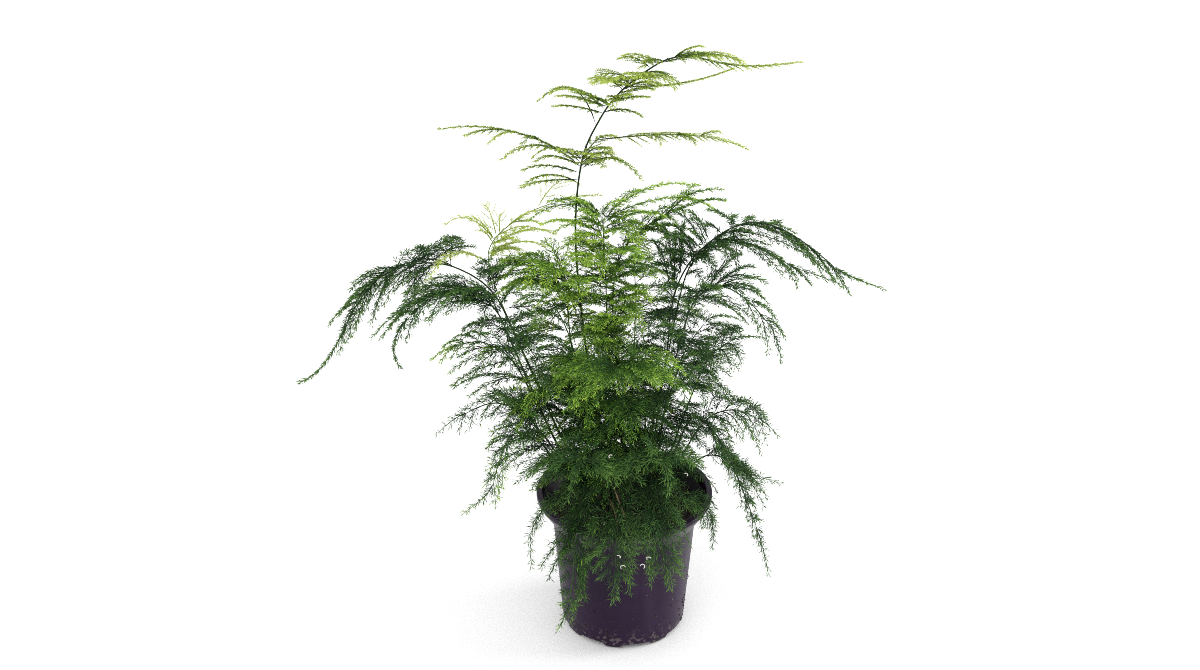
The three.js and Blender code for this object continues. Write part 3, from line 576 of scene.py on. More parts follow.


# The fronds. A stem grows from its foot in the soil through the points of its path, and its last spray goes
# on from there to "tip", by way of "bend" if it has one. A place on a stem counts its path's points from 1.
# "rows" are sprays set by rule, three for each "count", from the place "from" to "to". With a "spread" they
# stand at that angle to both sides of the stem, and without one all round it. Rows without "to" run to the
# end of the path and shorten on the way. "droop" is how far the tips sink and "arch" how far the middles
# rise, as shares of the length.
# "sprays" are listed one by one: the place on the stem, the tip and how far the middle is lifted, then, where
# they aren't the usual ones, how far the middle is moved along the spray, its twigs' size and its bare share.
# "branchlets" fork from the listed sprays: the spray's number, the share along it, the tip and the lift.
# "twigs", "sprayTwigs" and "lastTwigs" size the twigs of the rows, of the listed sprays and of the last
# spray. "fresh" makes all growth younger, and "thickness" and "wood" are the stem's own.
fronds = [
    {
        "name": "tall_leader", "tone": "young", "thickness": 1.3, "sprayTwigs": 0.55, "lastTwigs": 0.5,
        "foot": (-8, 6), "tip": (100, -14, 396), "bend": (70, -9, 384),
        "path": [
            (-18, 9, 145), (-27, 9, 213), (-32, 6, 280), (-28, 5, 328), (-17, 4, 355), (-3, 1, 374),
            (20, -2, 391), (38, -4, 395),
        ],
        "rows": [
            {"from": 0.8, "to": 2.6, "count": 3, "length": 44, "droop": 0.35},
            {"from": 5.1, "to": 7.4, "count": 3, "length": 27, "droop": 0.04, "twigs": 0.4},
        ],
        "sprays": [
            (3.95, (-113, -10, 357), 9, -0.16, 0.3), (3.7, (-62, -38, 328), 5, 0, 0.12, 0.25),
            (4, (-60, 22, 328), 8, 0, 0.12), (3.9, (8, -42, 333), 9, 0, 0.3), (4.1, (-4, 30, 338), 7),
            (4.45, (70, -20, 348), 4, 0.1, 0.9, 0.18), (4.85, (-54, -8, 370), 16, -0.2, 0.5, 0.42),
            (5.3, (-48, 28, 368), 6), (5.55, (12, -25, 376), 1, 0, 0.4), (6, (-24, 6, 380), 3),
            (6.1, (62, -2, 390), -5, 0.2, 0.3), (6.2, (27, -32, 382), 6, 0, 0.9), (6.7, (-6, 18, 390), 3),
            (3.75, (-63, -28, 324), 1, 0.1, 0.12, 0.3), (3.85, (-64, -6, 328), 3, 0.1, 0.12),
            (5.4, (-41, -16, 375), 1, 0.1, 0.7), (5.45, (-33, -22, 380), 1, 0.1, 1),
            (5.2, (-44, -12, 368), 1, 0.1, 0.25), (5.6, (0, -25, 377), 1, 0.1, 0.6),
            (6.05, (-21, -15, 382), 3, 0.1, 0.9), (6.3, (-18, -10, 385), 2, 0.1, 1.2),
            (6.2, (-12, -32, 386), 2, 0.1, 1.2), (6.4, (4, -34, 389), 2, 0.1, 1),
            (6.1, (-14, -25, 384), 2, 0.1, 0.9), (5.95, (18, -22, 382), 3, 0.1, 0.9),
            (5.85, (14, -28, 381), 1, 0.1, 0.3), (6.3, (12, -30, 386), 2, 0.1, 0.9),
            (6.9, (68, 12, 391), 3, 0.1), (7.2, (66, -30, 395), 4, 0.15), (6.9, (-3, 12, 393), 2, 0.1),
            (7.3, (44, -2, 400), 2, 0.1, 0.3), (3.95, (-55, -16, 336), 4, 0.1, 0.35),
            (4.05, (-39, -22, 343), 3, 0.1, 0.8), (4.1, (-10, -22, 343), 4, 0, 0.8),
            (4, (-5, -18, 337), 5, 0, 0.6), (3.95, (-14, -26, 335), 4, 0, 0.6),
            (4.05, (-20, -30, 343), 2, 0, 0.9),
        ],
        "branchlets": [
            (0, 0.52, (-83, -12, 345), 3), (0, 0.36, (-64, -12, 343), 4), (0, 0.2, (-75, -22, 339), 5),
            (0, 0.62, (-97, -12, 350), 1), (5, 0.35, (20, -16, 345), 2), (5, 0.5, (40, -22, 347), 2),
            (5, 0.66, (55, -12, 352), 1),
        ],
    },
    {
        "name": "second_tall", "tone": "middle", "fresh": 0.12, "lastTwigs": 0.1,
        "foot": (5, 5), "tip": (-3, -15, 312),
        "path": [(-3, 4, 145), (-11, 0, 210), (-13, 0, 255), (-15, 0, 297)],
        "rows": [
            {"from": 2.2, "count": 4, "length": 62, "droop": 0.12, "twigs": 0.4},
            {"from": 0.9, "to": 2.3, "count": 3, "length": 50, "droop": 0.35},
            {"from": 0.7, "to": 1.8, "count": 4, "length": 44, "droop": 0.1},
        ],
        "sprays": [
            (3.95, (39, 10, 316), 6, 0, 0.25), (3.8, (10, 42, 303), 4, 0, 0.15),
            (3.7, (22, -26, 306), 5, 0, 0.3), (3.9, (-50, 20, 301), 5, 0, 0.5),
            (3.6, (-52, -24, 300), 5, 0, 0.5), (3.3, (7, -56, 290), 5), (3.9, (-61, 0, 295), 9, 0, 0.5),
            (3.9, (-34, 0, 304), 5, 0, 0.5), (3.7, (-34, -15, 296), 5, 0, 0.5), (3.5, (-32, -20, 286), 6),
            (3.6, (7, -30, 290), 6), (3.3, (14, -25, 278), 6), (3.8, (15, 5, 297), 4, 0, 0.5),
            (3.2, (-41, -20, 273), 7), (3.9, (57, 15, 298), 9, 0.15, 0.2), (3, (15, -20, 276), 5),
            (2.9, (18, -28, 268), 5), (2.6, (11, -35, 262), 5), (2.5, (15, -30, 254), 5),
            (2.4, (8, -40, 248), 5), (2.2, (1, -40, 243), 5), (2.3, (-18, -42, 239), 5),
            (2.8, (-35, -35, 266), 5), (2.6, (-41, -30, 254), 5), (3.3, (-30, -20, 292), 5, 0, 0.7),
            (3.2, (-21, -25, 289), 5, 0, 0.7), (3, (-32, -30, 283), 5), (2.9, (-24, -30, 276), 5),
            (3.2, (-38, -10, 284), 6), (3.7, (-32, -16, 313), 4, 0, 0.6), (3.5, (-27, -24, 309), 4, 0, 0.6),
            (1.9, (-13, -34, 246), 6), (1.8, (-3, -28, 239), 6), (1.7, (-23, -34, 238), 6),
            (1.6, (-15, -38, 231), 6), (2, (1, -22, 246), 6), (1.5, (-4, -30, 229), 6),
        ],
    },
    {
        "name": "third_tall", "tone": "middle",
        "foot": (-13, -4), "tip": (-46, -22, 286),
        "path": [(-26, -8, 145), (-35, -9, 212), (-38, -10, 255)],
        "rows": [
            {"from": 1.5, "count": 4, "length": 56, "droop": 0.15, "twigs": 0.85},
            {"from": 0.8, "to": 1.9, "count": 3, "length": 50, "droop": 0.35},
            {"from": 0.6, "to": 1.6, "count": 4, "length": 42, "droop": 0.1},
        ],
        "sprays": [
            (3, (-76, -14, 262), 12), (3, (-71, 10, 262), 12), (3, (-61, -40, 267), 13),
            (2.9, (-49, -55, 269), 12), (2.8, (-80, -5, 249), 10), (3, (-51, 5, 280), 4),
            (3, (-23, -35, 278), 8), (2.7, (-25, -50, 266), 8), (3, (-86, -20, 268), 8, 0, 0.8),
            (2.9, (-85, -22, 261), 8, 0, 0.8), (2.8, (-82, -24, 254), 8, 0, 0.8),
            (2.7, (-76, -30, 257), 8, 0, 0.8), (3, (-78, -10, 272), 7, 0, 0.8),
        ],
    },
    {
        "name": "young_shoot", "tone": "young", "fresh": 0.14, "thickness": 0.75, "wood": 0.2,
        "foot": (-15, 15), "tip": (-14, 24, 304),
        "path": [
            (-45, 22, 140), (-75, 22, 212), (-88, 22, 252), (-86, 21, 272), (-66, 20, 290), (-45, 17, 300),
        ],
        "sprays": [
            (3.2, (-118, -50, 275), 11, 0.1, 0.4), (4.1, (-115, 6, 289), 9, 0, 0.22),
            (3.5, (-62, -6, 272), 5), (3.8, (-43, -14, 291), 6), (4.2, (-90, 26, 296), 4),
            (5.4, (-31, 34, 309), 8), (3.9, (-68, 0, 281), 2), (3.4, (-67, 5, 273), 3),
            (3.3, (-75, 8, 273), 2), (4.7, (-53, 10, 288), 2), (4.3, (-80, 20, 292), 2),
            (4.1, (-100, 15, 291), 4), (4.5, (-48, 8, 298), 4, 0, 0.4), (4.2, (-56, 4, 288), 3, 0, 0.4),
            (3.6, (-50, -8, 281), 4, 0, 0.4), (4, (-94, 12, 283), 3, 0, 0.5),
        ],
    },
    {
        "name": "left_arch", "tone": "dark", "twigs": 0.75, "sprayTwigs": 0.8,
        "foot": (-19, 1), "tip": (-203, -40, 203), "bend": (-188, -38, 203),
        "path": [
            (-42, -6, 144), (-68, -12, 214), (-83, -14, 250), (-104, -18, 268), (-125, -22, 273),
            (-145, -24, 268), (-160, -27, 256), (-172, -32, 238),
        ],
        "rows": [
            {"from": 3.9, "count": 4, "length": 37, "spread": 34, "droop": 0.44, "arch": 0, "twigs": 0.2},
            {"from": 0.8, "to": 3.1, "count": 4, "length": 42, "droop": 0.2, "twigs": 0.45},
        ],
        "sprays": [
            (4.2, (-112, 28, 274), 6), (4.9, (-132, 12, 273), 3, 0, 0.4), (3, (-67, 0, 265), 9),
            (3, (-77, 10, 264), 7), (3.2, (-57, -10, 263), 12), (2.8, (-49, -15, 255), 9),
            (4.8, (-94, -8, 280), 3, 0, 0.4), (5, (-103, 0, 281), 2), (5.2, (-110, 2, 281), 2),
            (5.4, (-118, 4, 276), 2, 0, 0.6), (5.8, (-134, -4, 276), 2, 0, 0.4),
            (5.7, (-167, -30, 264), 3, 0, 0.35), (6, (-171, -22, 256), 3, 0, 0.3),
            (6.2, (-166, -42, 257), 3, 0, 0.35), (6.6, (-173, -30, 248), 3, 0, 0.35),
            (7, (-180, -22, 238), 3, 0, 0.3), (7.3, (-184, -32, 236), 3, 0, 0.3),
            (6.4, (-166, -38, 238), 5, 0, 0.6), (5.6, (-158, -24, 238), 6, 0, 0.6),
            (4.9, (-138, -44, 246), 3, 0, 0.4), (5.3, (-147, -40, 253), 3, 0, 0.5),
            (4.7, (-131, -40, 253), 4, 0, 0.5), (5.2, (-128, -46, 244), 4, 0, 0.4),
            (5.9, (-155, -42, 241), 4, 0, 0.4), (4.8, (-141, -34, 260), 3, 0, 0.6),
            (3.4, (-85, -30, 276), 6, 0, 0.8), (3.2, (-78, -36, 274), 6), (3, (-86, -40, 272), 8),
        ],
    },
    {
        "name": "left_second", "tone": "dark", "twigs": 0.75,
        "foot": (-20, -7), "tip": (-135, -62, 222), "bend": (-145, -60, 233),
        "path": [
            (-45, -16, 145), (-69, -26, 214), (-80, -33, 246), (-95, -42, 262), (-115, -52, 262),
            (-130, -58, 252),
        ],
        "rows": [
            {"from": 3.2, "count": 4, "length": 36, "spread": 40, "droop": 0.2, "twigs": 0.25},
            {"from": 0.9, "to": 2.6, "count": 4, "length": 44, "droop": 0.2, "twigs": 0.7},
        ],
        "sprays": [
            (3, (-59, -40, 255), 9), (2.8, (-93, -50, 268), 7), (3.3, (-112, -45, 267), 4),
            (3.5, (-123, -50, 267), 4), (3.6, (-134, -45, 264), 5), (3.3, (-119, -60, 252), 6),
            (3.1, (-108, -55, 254), 6), (3.5, (-128, -60, 256), 6), (3.8, (-139, -60, 256), 5),
            (4.2, (-153, -55, 240), 7, 0, 0.15), (4.6, (-149, -50, 236), 6, 0, 0.15),
            (3.1, (-96, -52, 260), 5), (2.3, (-59, -56, 238), 7), (2.1, (-52, -58, 230), 7),
            (2, (-64, -56, 223), 7), (2.5, (-71, -58, 243), 7),
        ],
    },
    {
        "name": "left_middle", "tone": "middle", "twigs": 0.08, "sprayTwigs": 0.3, "lastTwigs": 0.15,
        "foot": (-24, 8), "tip": (-126, -10, 203),
        "path": [(-40, 4, 122), (-58, 0, 165), (-74, 0, 198), (-92, -3, 212), (-108, -7, 212)],
        "rows": [{"from": 2, "count": 4, "length": 35, "spread": 42, "droop": 0.25}],
        "sprays": [
            (3, (-113, -10, 186), 3, 0.1), (2.6, (-100, -22, 184), 3, 0.1), (3.4, (-114, -14, 196), 3, 0.1),
        ],
    },
    {
        "name": "left_lower", "tone": "dark", "twigs": 0.08, "lastTwigs": 0.15,
        "foot": (-25, -1), "tip": (-124, -20, 154),
        "path": [(-46, 2, 128), (-66, 4, 155), (-86, 0, 167), (-105, -9, 164)],
        "rows": [{"from": 1.6, "count": 4, "length": 30, "spread": 60, "droop": 0.25}],
        "sprays": [
            (0.6, (-49, 0, 104), 8), (0.8, (-54, 0, 102), 8), (0.5, (-43, -4, 103), 8),
            (1.5, (-90, -20, 170), 6, 0, 0.8), (1.4, (-88, -24, 159), 6, 0, 0.8),
            (1.2, (-90, -30, 152), 7, 0, 0.8), (1.8, (-92, -14, 178), 5, 0, 0.8),
            (1.2, (-83, -34, 149), 8, 0, 0.8), (1.8, (-81, -28, 189), 6), (1.6, (-73, -26, 192), 6),
            (1.5, (-67, -26, 188), 6), (2.1, (-88, -24, 187), 5), (1.7, (-76, -34, 186), 6),
        ],
    },
    {
        "name": "left_trail", "tone": "middle", "fresh": -0.06, "twigs": 0.4,
        "foot": (-20, -15), "tip": (-106, -50, 113),
        "path": [(-42, -27, 132), (-58, -35, 160), (-72, -41, 165), (-80, -44, 149), (-85, -46, 132)],
        "rows": [{"from": 2, "count": 4, "length": 27, "spread": 55, "droop": 0.3}],
        "sprays": [(1.3, (-68, -45, 170), 5), (1.8, (-60, -50, 186), 6)],
    },
    {
        "name": "left_rim", "tone": "dark", "twigs": 0.2, "lastTwigs": 0.08,
        "foot": (-17, -21), "tip": (-61, -48, 70),
        "path": [(-32, -33, 112), (-48, -41, 117), (-58, -45, 104)],
        "rows": [{"from": 1.2, "count": 4, "length": 7, "spread": 35, "droop": 0.4}],
    },
    {
        "name": "right_arch", "tone": "dark", "twigs": 0.45, "sprayTwigs": 0.5,
        "foot": (14, 7), "tip": (160, -20, 256),
        "path": [
            (21, 6, 145), (27, 4, 200), (30, 0, 240), (39, -4, 266), (55, -6, 284), (73, -8, 294),
            (92, -10, 292), (110, -12, 282), (128, -15, 268),
        ],
        "rows": [
            {
                "from": 4.3, "count": 5, "length": 34, "spread": 14, "droop": 0.42, "arch": -0.04,
                "twigs": 0.15,
            },
            {"from": 1.1, "to": 3.1, "count": 3, "length": 44, "droop": 0.25},
        ],
        "sprays": [
            (4.5, (20, -30, 292), 6), (5.5, (69, -20, 265), 6, 0, 0.4), (4.2, (8, -30, 276), 6),
            (5.7, (49, -14, 305), 2, 0, 0.7), (5.5, (63, -28, 306), 1, 0, 0.2),
            (6, (73, -29, 305), 1, 0, 0.2), (6.9, (89, -29, 302), 1, 0, 0.25),
            (5.3, (130, -30, 264), 9, 0, 0.25), (5.9, (118, -20, 274), 5, 0, 0.3),
            (4.9, (104, -32, 268), 7, 0, 0.25), (3.8, (15, -10, 284), 4, 0.1), (4, (22, 6, 286), 3, 0.1),
            (4.1, (54, -22, 272), 3, 0.1), (3.7, (13, -26, 273), 3, 0.1), (4.5, (68, 12, 270), 3, 0.1),
            (4.7, (41, 12, 292), 2, 0.1), (4.4, (23, 0, 292), 4, 0.1, 0.2),
            (4.6, (30, -4, 300), 4, 0.1, 0.2), (4.8, (38, -8, 302), 3, 0.1, 0.8),
            (5.2, (47, -14, 295), 2, 0.1), (4.3, (25, -10, 286), 4, 0.1), (4.6, (41, -14, 290), 2, 0.1),
            (4.2, (28, -16, 278), 3, 0.1), (4.9, (61, -20, 279), 3, 0.1, 0.4),
            (3.2, (23, 0, 292), 5, 0, 0.7), (3.1, (30, -8, 288), 5, 0, 0.7), (3.5, (35, -4, 294), 5, 0, 0.6),
            (3, (17, -6, 283), 6, 0, 0.7),
        ],
    },
    {
        "name": "right_second", "tone": "dark", "twigs": 0.5, "sprayTwigs": 0.5, "lastTwigs": 0.15,
        "foot": (11, 16), "tip": (131, -18, 260),
        "path": [
            (19, 17, 140), (28, 17, 190), (35, 16, 234), (43, 16, 260), (60, 16, 274), (80, 11, 274),
            (102, 2, 264),
        ],
        "rows": [
            {
                "from": 3.6, "count": 4, "length": 38, "spread": 24, "droop": 0.35, "arch": -0.04,
                "twigs": 0.1,
            },
            {"from": 1, "to": 3.1, "count": 3, "length": 46, "droop": 0.25},
        ],
        "sprays": [
            (4.8, (71, 0, 262), 6), (4.2, (54, -20, 265), 6), (3.9, (25, 22, 265), 3, 0.1),
            (4.2, (63, 26, 264), 3, 0.1), (3.6, (47, -6, 257), 4, 0.1), (4.1, (33, 26, 276), 3, 0.1),
            (4, (36, -2, 281), 4, 0.1), (4.2, (48, -8, 273), 3, 0.1), (3.8, (26, -6, 268), 4, 0.1),
            (2.6, (25, 8, 240), 5), (2.9, (15, 6, 248), 5),
        ],
    },
    {
        "name": "right_middle", "tone": "dark", "twigs": 0.36,
        "foot": (19, -2), "tip": (97, -30, 210),
        "path": [
            (23, -7, 140), (27, -11, 176), (35, -16, 222), (43, -19, 248), (58, -23, 258), (74, -26, 250),
            (87, -28, 236),
        ],
        "rows": [
            {"from": 2.6, "count": 4, "length": 42, "spread": 42, "droop": 0.2},
            {"from": 0.7, "to": 2.8, "count": 4, "length": 42, "droop": 0.25},
        ],
        "sprays": [
            (4.2, (19, -40, 262), 4, 0.1), (4.4, (52, -44, 265), 3, 0.1), (4.6, (76, -28, 274), 3, 0.1, 0.6),
            (4.9, (84, -32, 265), 4, 0.1, 0.6), (4.8, (80, -34, 260), 3, 0.1, 0.6),
            (4.4, (69, -20, 279), 3, 0.1, 0.6), (4.5, (66, -10, 276), 3, 0.1, 0.6),
            (2.2, (42, -26, 215), 5, 0, 0.8), (2, (46, -28, 207), 5, 0, 0.8), (2.6, (25, -36, 240), 5),
        ],
    },
    {
        "name": "right_inner", "tone": "middle", "twigs": 0.2, "sprayTwigs": 0.5, "lastTwigs": 0.12,
        "foot": (3, 16), "tip": (61, 12, 311),
        "path": [
            (-1, 20, 140), (-6, 24, 190), (-8, 26, 235), (-2, 25, 264), (12, 23, 281), (25, 20, 291),
            (36, 18, 302),
        ],
        "rows": [
            {"from": 3.4, "count": 4, "length": 36, "spread": 42, "droop": 0.15},
            {"from": 0.7, "to": 3.4, "count": 4, "length": 44, "droop": 0.2},
        ],
        "sprays": [
            (4.5, (29, 5, 280), 6), (4.8, (42, 10, 284), 4), (4.2, (14, -10, 277), 6),
            (4.9, (59, -10, 312), 4, 0.1, 0.2),
        ],
    },
    {
        "name": "right_green", "tone": "dark", "twigs": 0.6,
        "foot": (22, 12), "tip": (92, 8, 211),
        "path": [(34, 10, 132), (45, 5, 172), (55, 1, 200), (68, 1, 211)],
        "rows": [{"from": 1.6, "count": 4, "length": 48, "spread": 64, "droop": 0.2}],
    },
    {
        "name": "right_outer", "tone": "dark", "twigs": 0.6,
        "foot": (26, 3), "tip": (104, 0, 142),
        "path": [(40, -1, 130), (54, -3, 156), (71, -2, 163), (88, 0, 156)],
        "rows": [{"from": 1.6, "count": 4, "length": 40, "spread": 60, "droop": 0.25}],
        "sprays": [
            (0.5, (48, 8, 116), 8, 0, 0.7), (1.6, (57, -10, 165), 5), (1.4, (53, -14, 150), 5),
            (2.2, (79, -6, 142), 5, 0, 0.5), (3, (92, -4, 132), 4, 0, 0.3),
        ],
    },
    {
        "name": "right_trail", "tone": "dark", "twigs": 0.22, "lastTwigs": 0.15,
        "foot": (18, -17), "tip": (98, -31, 53),
        "path": [
            (32, -17, 138), (44, -17, 165), (58, -19, 155), (69, -22, 136), (79, -25, 112), (88, -28, 88),
        ],
        "rows": [{"from": 2.5, "count": 5, "length": 26, "spread": 52, "droop": 0.1}],
    },
    {
        "name": "right_sparse", "tone": "dark", "twigs": 0.65,
        "foot": (26, -8), "tip": (110, 12, 100),
        "path": [(40, -6, 116), (54, -2, 128), (70, 2, 124), (84, 6, 112)],
        "rows": [{"from": 2, "count": 4, "length": 30, "spread": 55, "droop": 0.2}],
        "sprays": [
            (3, (94, -20, 100), 4, 0, 0.3), (2.6, (88, -26, 98), 5, 0, 0.3), (0.5, (45, 2, 114), 7),
            (0.7, (51, -4, 108), 8), (0.5, (41, 8, 118), 6), (0.8, (53, -2, 114), 8),
            (3, (98, -10, 100), 4, 0, 0.4), (2.4, (93, -16, 112), 4, 0, 0.4),
        ],
    },
    {
        "name": "right_rim", "tone": "dark", "twigs": 0.5,
        "foot": (24, -22), "tip": (57, -46, 84),
        "path": [(34, -30, 112), (46, -37, 116), (54, -42, 106)],
        "rows": [{"from": 1.2, "count": 4, "length": 15, "spread": 40, "droop": 0.4}],
    },
    {
        "name": "front_spray", "tone": "middle", "fresh": -0.16,
        "foot": (-1, -11), "tip": (-22, -100, 212),
        "path": [(-1, -22, 140), (-2, -34, 185), (-3, -50, 213), (-6, -68, 224)],
        "rows": [
            {"from": 2.2, "count": 4, "length": 50, "spread": 66, "droop": 0.25},
            {"from": 0.8, "to": 2.2, "count": 3, "length": 44, "droop": 0.4},
        ],
        "sprays": [
            (3.6, (34, -66, 221), 9), (3.8, (-14, -96, 226), 5), (3.7, (-4, -96, 222), 5),
            (3.6, (5, -95, 226), 5), (3.5, (14, -90, 227), 5), (3.4, (26, -80, 228), 5),
            (3.9, (-24, -94, 217), 6), (3.8, (-32, -88, 208), 7), (3.7, (-38, -84, 203), 8),
        ],
    },
    {
        "name": "front_low_right", "tone": "dark", "fresh": 0,
        "foot": (11, -9), "tip": (26, -82, 146),
        "path": [(16, -22, 122), (20, -38, 147), (22, -54, 156)],
        "rows": [{"from": 1.2, "count": 4, "length": 42, "spread": 62, "droop": 0.3}],
        "sprays": [
            (0.7, (30, -50, 114), 13), (0.8, (15, -56, 111), 13), (1, (42, -25, 132), 8),
            (1.6, (14, -66, 168), 8), (1.1, (10, -68, 97), 11, 0.1), (1.2, (23, -65, 99), 11, 0.1),
            (1, (36, -56, 104), 10, 0.1), (0.9, (44, -44, 110), 9, 0.1),
        ],
    },
    {
        "name": "front_low_left", "tone": "dark", "fresh": 0.08,
        "foot": (-10, -12), "tip": (-36, -82, 142),
        "path": [(-16, -24, 122), (-22, -40, 147), (-28, -56, 154)],
        "rows": [{"from": 1.2, "count": 4, "length": 42, "spread": 62, "droop": 0.3}],
        "sprays": [
            (0.6, (-45, -36, 119), 11), (0.7, (-45, -46, 111), 13), (0.9, (-56, -26, 122), 11),
            (0.8, (-33, -54, 110), 13), (1, (-50, -30, 137), 8), (1.6, (-41, -60, 171), 8),
            (1.1, (-72, -36, 129), 9, 0.05), (1.3, (-67, -30, 133), 8, 0.05),
            (1.1, (-34, -64, 100), 11, 0.1), (1, (-43, -56, 103), 10, 0.1), (0.9, (-50, -42, 108), 9, 0.1),
            (0.6, (-67, -45, 142), 14), (0.7, (-60, -52, 136), 14), (0.6, (-51, -20, 122), 8),
            (0.8, (-72, -40, 144), 12), (0.9, (-61, -50, 144), 13),
        ],
    },
    {
        "name": "front_trail_left", "tone": "middle", "fresh": -0.28, "twigs": 0.5, "lastTwigs": 0.08,
        "foot": (-11, -25), "tip": (-45, -57, 27),
        "path": [(-17, -38, 114), (-24, -54, 116), (-32, -63, 98), (-34, -63, 74), (-37, -60, 50)],
        "rows": [{"from": 1.6, "count": 5, "length": 18, "spread": 50, "droop": 0.1}],
        "sprays": [
            (1.6, (-42, -62, 84), 10), (1, (-22, -60, 107), 9), (2.6, (-26, -70, 80), 6),
            (2.2, (-49, -64, 97), 4, 0, 0.6), (2.3, (-42, -68, 93), 4, 0, 0.6),
            (2.4, (-56, -52, 74), 4, 0, 0.5), (2.7, (-51, -54, 66), 4, 0, 0.5),
            (3.2, (-26, -64, 56), 4, 0, 0.5),
        ],
    },
    {
        "name": "front_trail_middle", "tone": "dark", "fresh": 0.08,
        "foot": (2, -21), "tip": (-8, -75, 62),
        "path": [(-1, -36, 114), (-4, -54, 118), (-6, -68, 106), (-7, -74, 86)],
        "rows": [{"from": 2.1, "count": 4, "length": 26, "spread": 50, "droop": 0.1}],
        "sprays": [
            (2.2, (-36, -64, 40), 14), (1, (2, -60, 108), 10), (1.9, (-6, -74, 65), 14),
            (2.1, (3, -76, 70), 12),
        ],
    },
    {
        "name": "front_trail_right", "tone": "dark", "fresh": 0.08,
        "foot": (14, -27), "tip": (29, -69, 68),
        "path": [(16, -40, 113), (19, -55, 114), (22, -66, 100), (25, -69, 86)],
        "rows": [{"from": 1.4, "count": 4, "length": 24, "spread": 50, "droop": 0.1}],
        "sprays": [
            (1.9, (16, -74, 73), 14), (2, (26, -70, 72), 14), (1.6, (42, -58, 92), 12),
            (1.4, (51, -44, 108), 10),
        ],
    },
    {
        "name": "middle_left", "tone": "dark",
        "foot": (-5, -2), "tip": (-64, 8, 196),
        "path": [(-12, -1, 130), (-23, 2, 170), (-37, 4, 194)],
        "rows": [
            {"from": 1.1, "count": 4, "length": 50, "spread": 64, "droop": 0.25},
            {"from": 0.5, "to": 1.5, "count": 3, "length": 40, "droop": 0.15},
        ],
        "sprays": [
            (1.6, (-50, -20, 195), 5), (1.4, (-45, -24, 188), 5), (1.8, (-48, -10, 194), 4),
            (1.7, (-42, -16, 189), 4), (1.2, (-53, -20, 184), 5), (1.5, (-68, -14, 186), 6),
            (1.9, (-65, -4, 190), 6), (1.2, (-71, -20, 181), 7), (1.7, (-59, -26, 188), 6),
            (2, (-50, -22, 204), 5), (1.9, (-44, -28, 197), 5),
        ],
    },
    {
        "name": "middle_right", "tone": "dark",
        "foot": (10, -1), "tip": (2, -30, 222),
        "path": [(13, -3, 130), (13, -6, 168), (9, -12, 198)],
        "rows": [
            {"from": 1.1, "count": 4, "length": 50, "droop": 0.2},
            {"from": 0.5, "to": 1.5, "count": 3, "length": 40, "droop": 0.15},
        ],
    },
    {
        "name": "back_low", "tone": "dark",
        "foot": (-3, 34), "tip": (-14, 102, 112),
        "path": [(-5, 46, 116), (-8, 62, 130), (-10, 78, 128)],
        "rows": [{"from": 1.2, "count": 4, "length": 36, "spread": 60, "droop": 0.25}],
    },
    {
        "name": "back_left", "tone": "middle", "twigs": 0.7,
        "foot": (-9, 24), "tip": (-78, 98, 212),
        "path": [(-24, 36, 142), (-38, 54, 192), (-52, 72, 214)],
        "rows": [
            {"from": 1.4, "count": 4, "length": 52, "spread": 64, "droop": 0.2},
            {"from": 0.5, "to": 1.5, "count": 2, "length": 42, "droop": 0.15},
        ],
    },
    {
        "name": "back_middle", "tone": "dark", "twigs": 0.7,
        "foot": (4, 26), "tip": (8, 118, 230),
        "path": [(6, 40, 148), (8, 60, 205), (8, 84, 232)],
        "rows": [
            {"from": 1.5, "count": 4, "length": 54, "spread": 64, "droop": 0.2},
            {"from": 0.5, "to": 1.5, "count": 2, "length": 42, "droop": 0.15},
        ],
    },
    {
        "name": "back_right", "tone": "dark",
        "foot": (16, 24), "tip": (88, 90, 190),
        "path": [(28, 36, 138), (42, 54, 178), (58, 70, 196)],
        "rows": [
            {"from": 1.4, "count": 4, "length": 50, "spread": 64, "droop": 0.2},
            {"from": 0.5, "to": 1.5, "count": 2, "length": 42, "droop": 0.15},
        ],
    },
]


# How the fronds grow: stems with scales, spines along the sprays, twigs to both sides of them and needles on
# both. Angles are in degrees. "growthAtBase" and "growthAtTip" are the growth of a spray's two ends, each for
# a spray low on the stem and one at its top. "crownRadius", "crownFoot" and "crownDepth" say where needles
# get painted shade, given as older and darker growth: on the plant's axis and low down.
foliage = {
    "rootDepth": 5.7, "footHeight": 2, "stemRadius": 0.75, "stemTipRadius": 0.34, "stemSides": 6,
    "stemStep": 3.5, "scaleStep": 11, "scaleLength": 2.6, "scaleWidth": 0.8, "scaleFrom": 14, "scaleTo": 6,
    "spineRadius": 0.36, "spineTipRadius": 0.16, "spinePoints": 10, "spineSides": 4, "finerSprays": 3,
    "sprayShortening": 0.5, "sprayArch": 0.1, "droopJitter": 1.4, "goldenAngle": 137.5, "steepShare": 0.3,
    "lastSprayPull": 0.35, "stemEndLap": 0.06, "tipDroop": 0.05, "curveStretch": 1.02, "bareShare": 0.06,
    "twigRadius": 0.2, "twigTipRadius": 0.12, "twigPoints": 4, "twigSides": 3, "shortestTwig": 3,
    "twigBare": 0.08, "twigStagger": 0.22, "twigJitter": 0.12, "twigEnd": 0.98, "twigWiden": 0.24,
    "twigMiddle": 0.52, "lengthJitter": 0.35, "angleJitter": 15, "lastSprayTwigs": 0.35,
    "branchletTwigs": 0.4, "usualSpray": 60,
    "growthAtBase": (0.05, 0.3), "growthAtTip": (0.46, 0.78), "twigGrowth": 0.25, "ownShade": 0.4,
    "crownRadius": 70, "crownFoot": 120, "crownDepth": 110, "crownShade": 0.27,
    "needleWidest": 0.42, "needleFold": 0.3, "needleSag": 0.04, "leanJitter": 10, "needleTone": 0.24,
    "needleGrowth": (-0.12, 0, 0, 0.26),
}

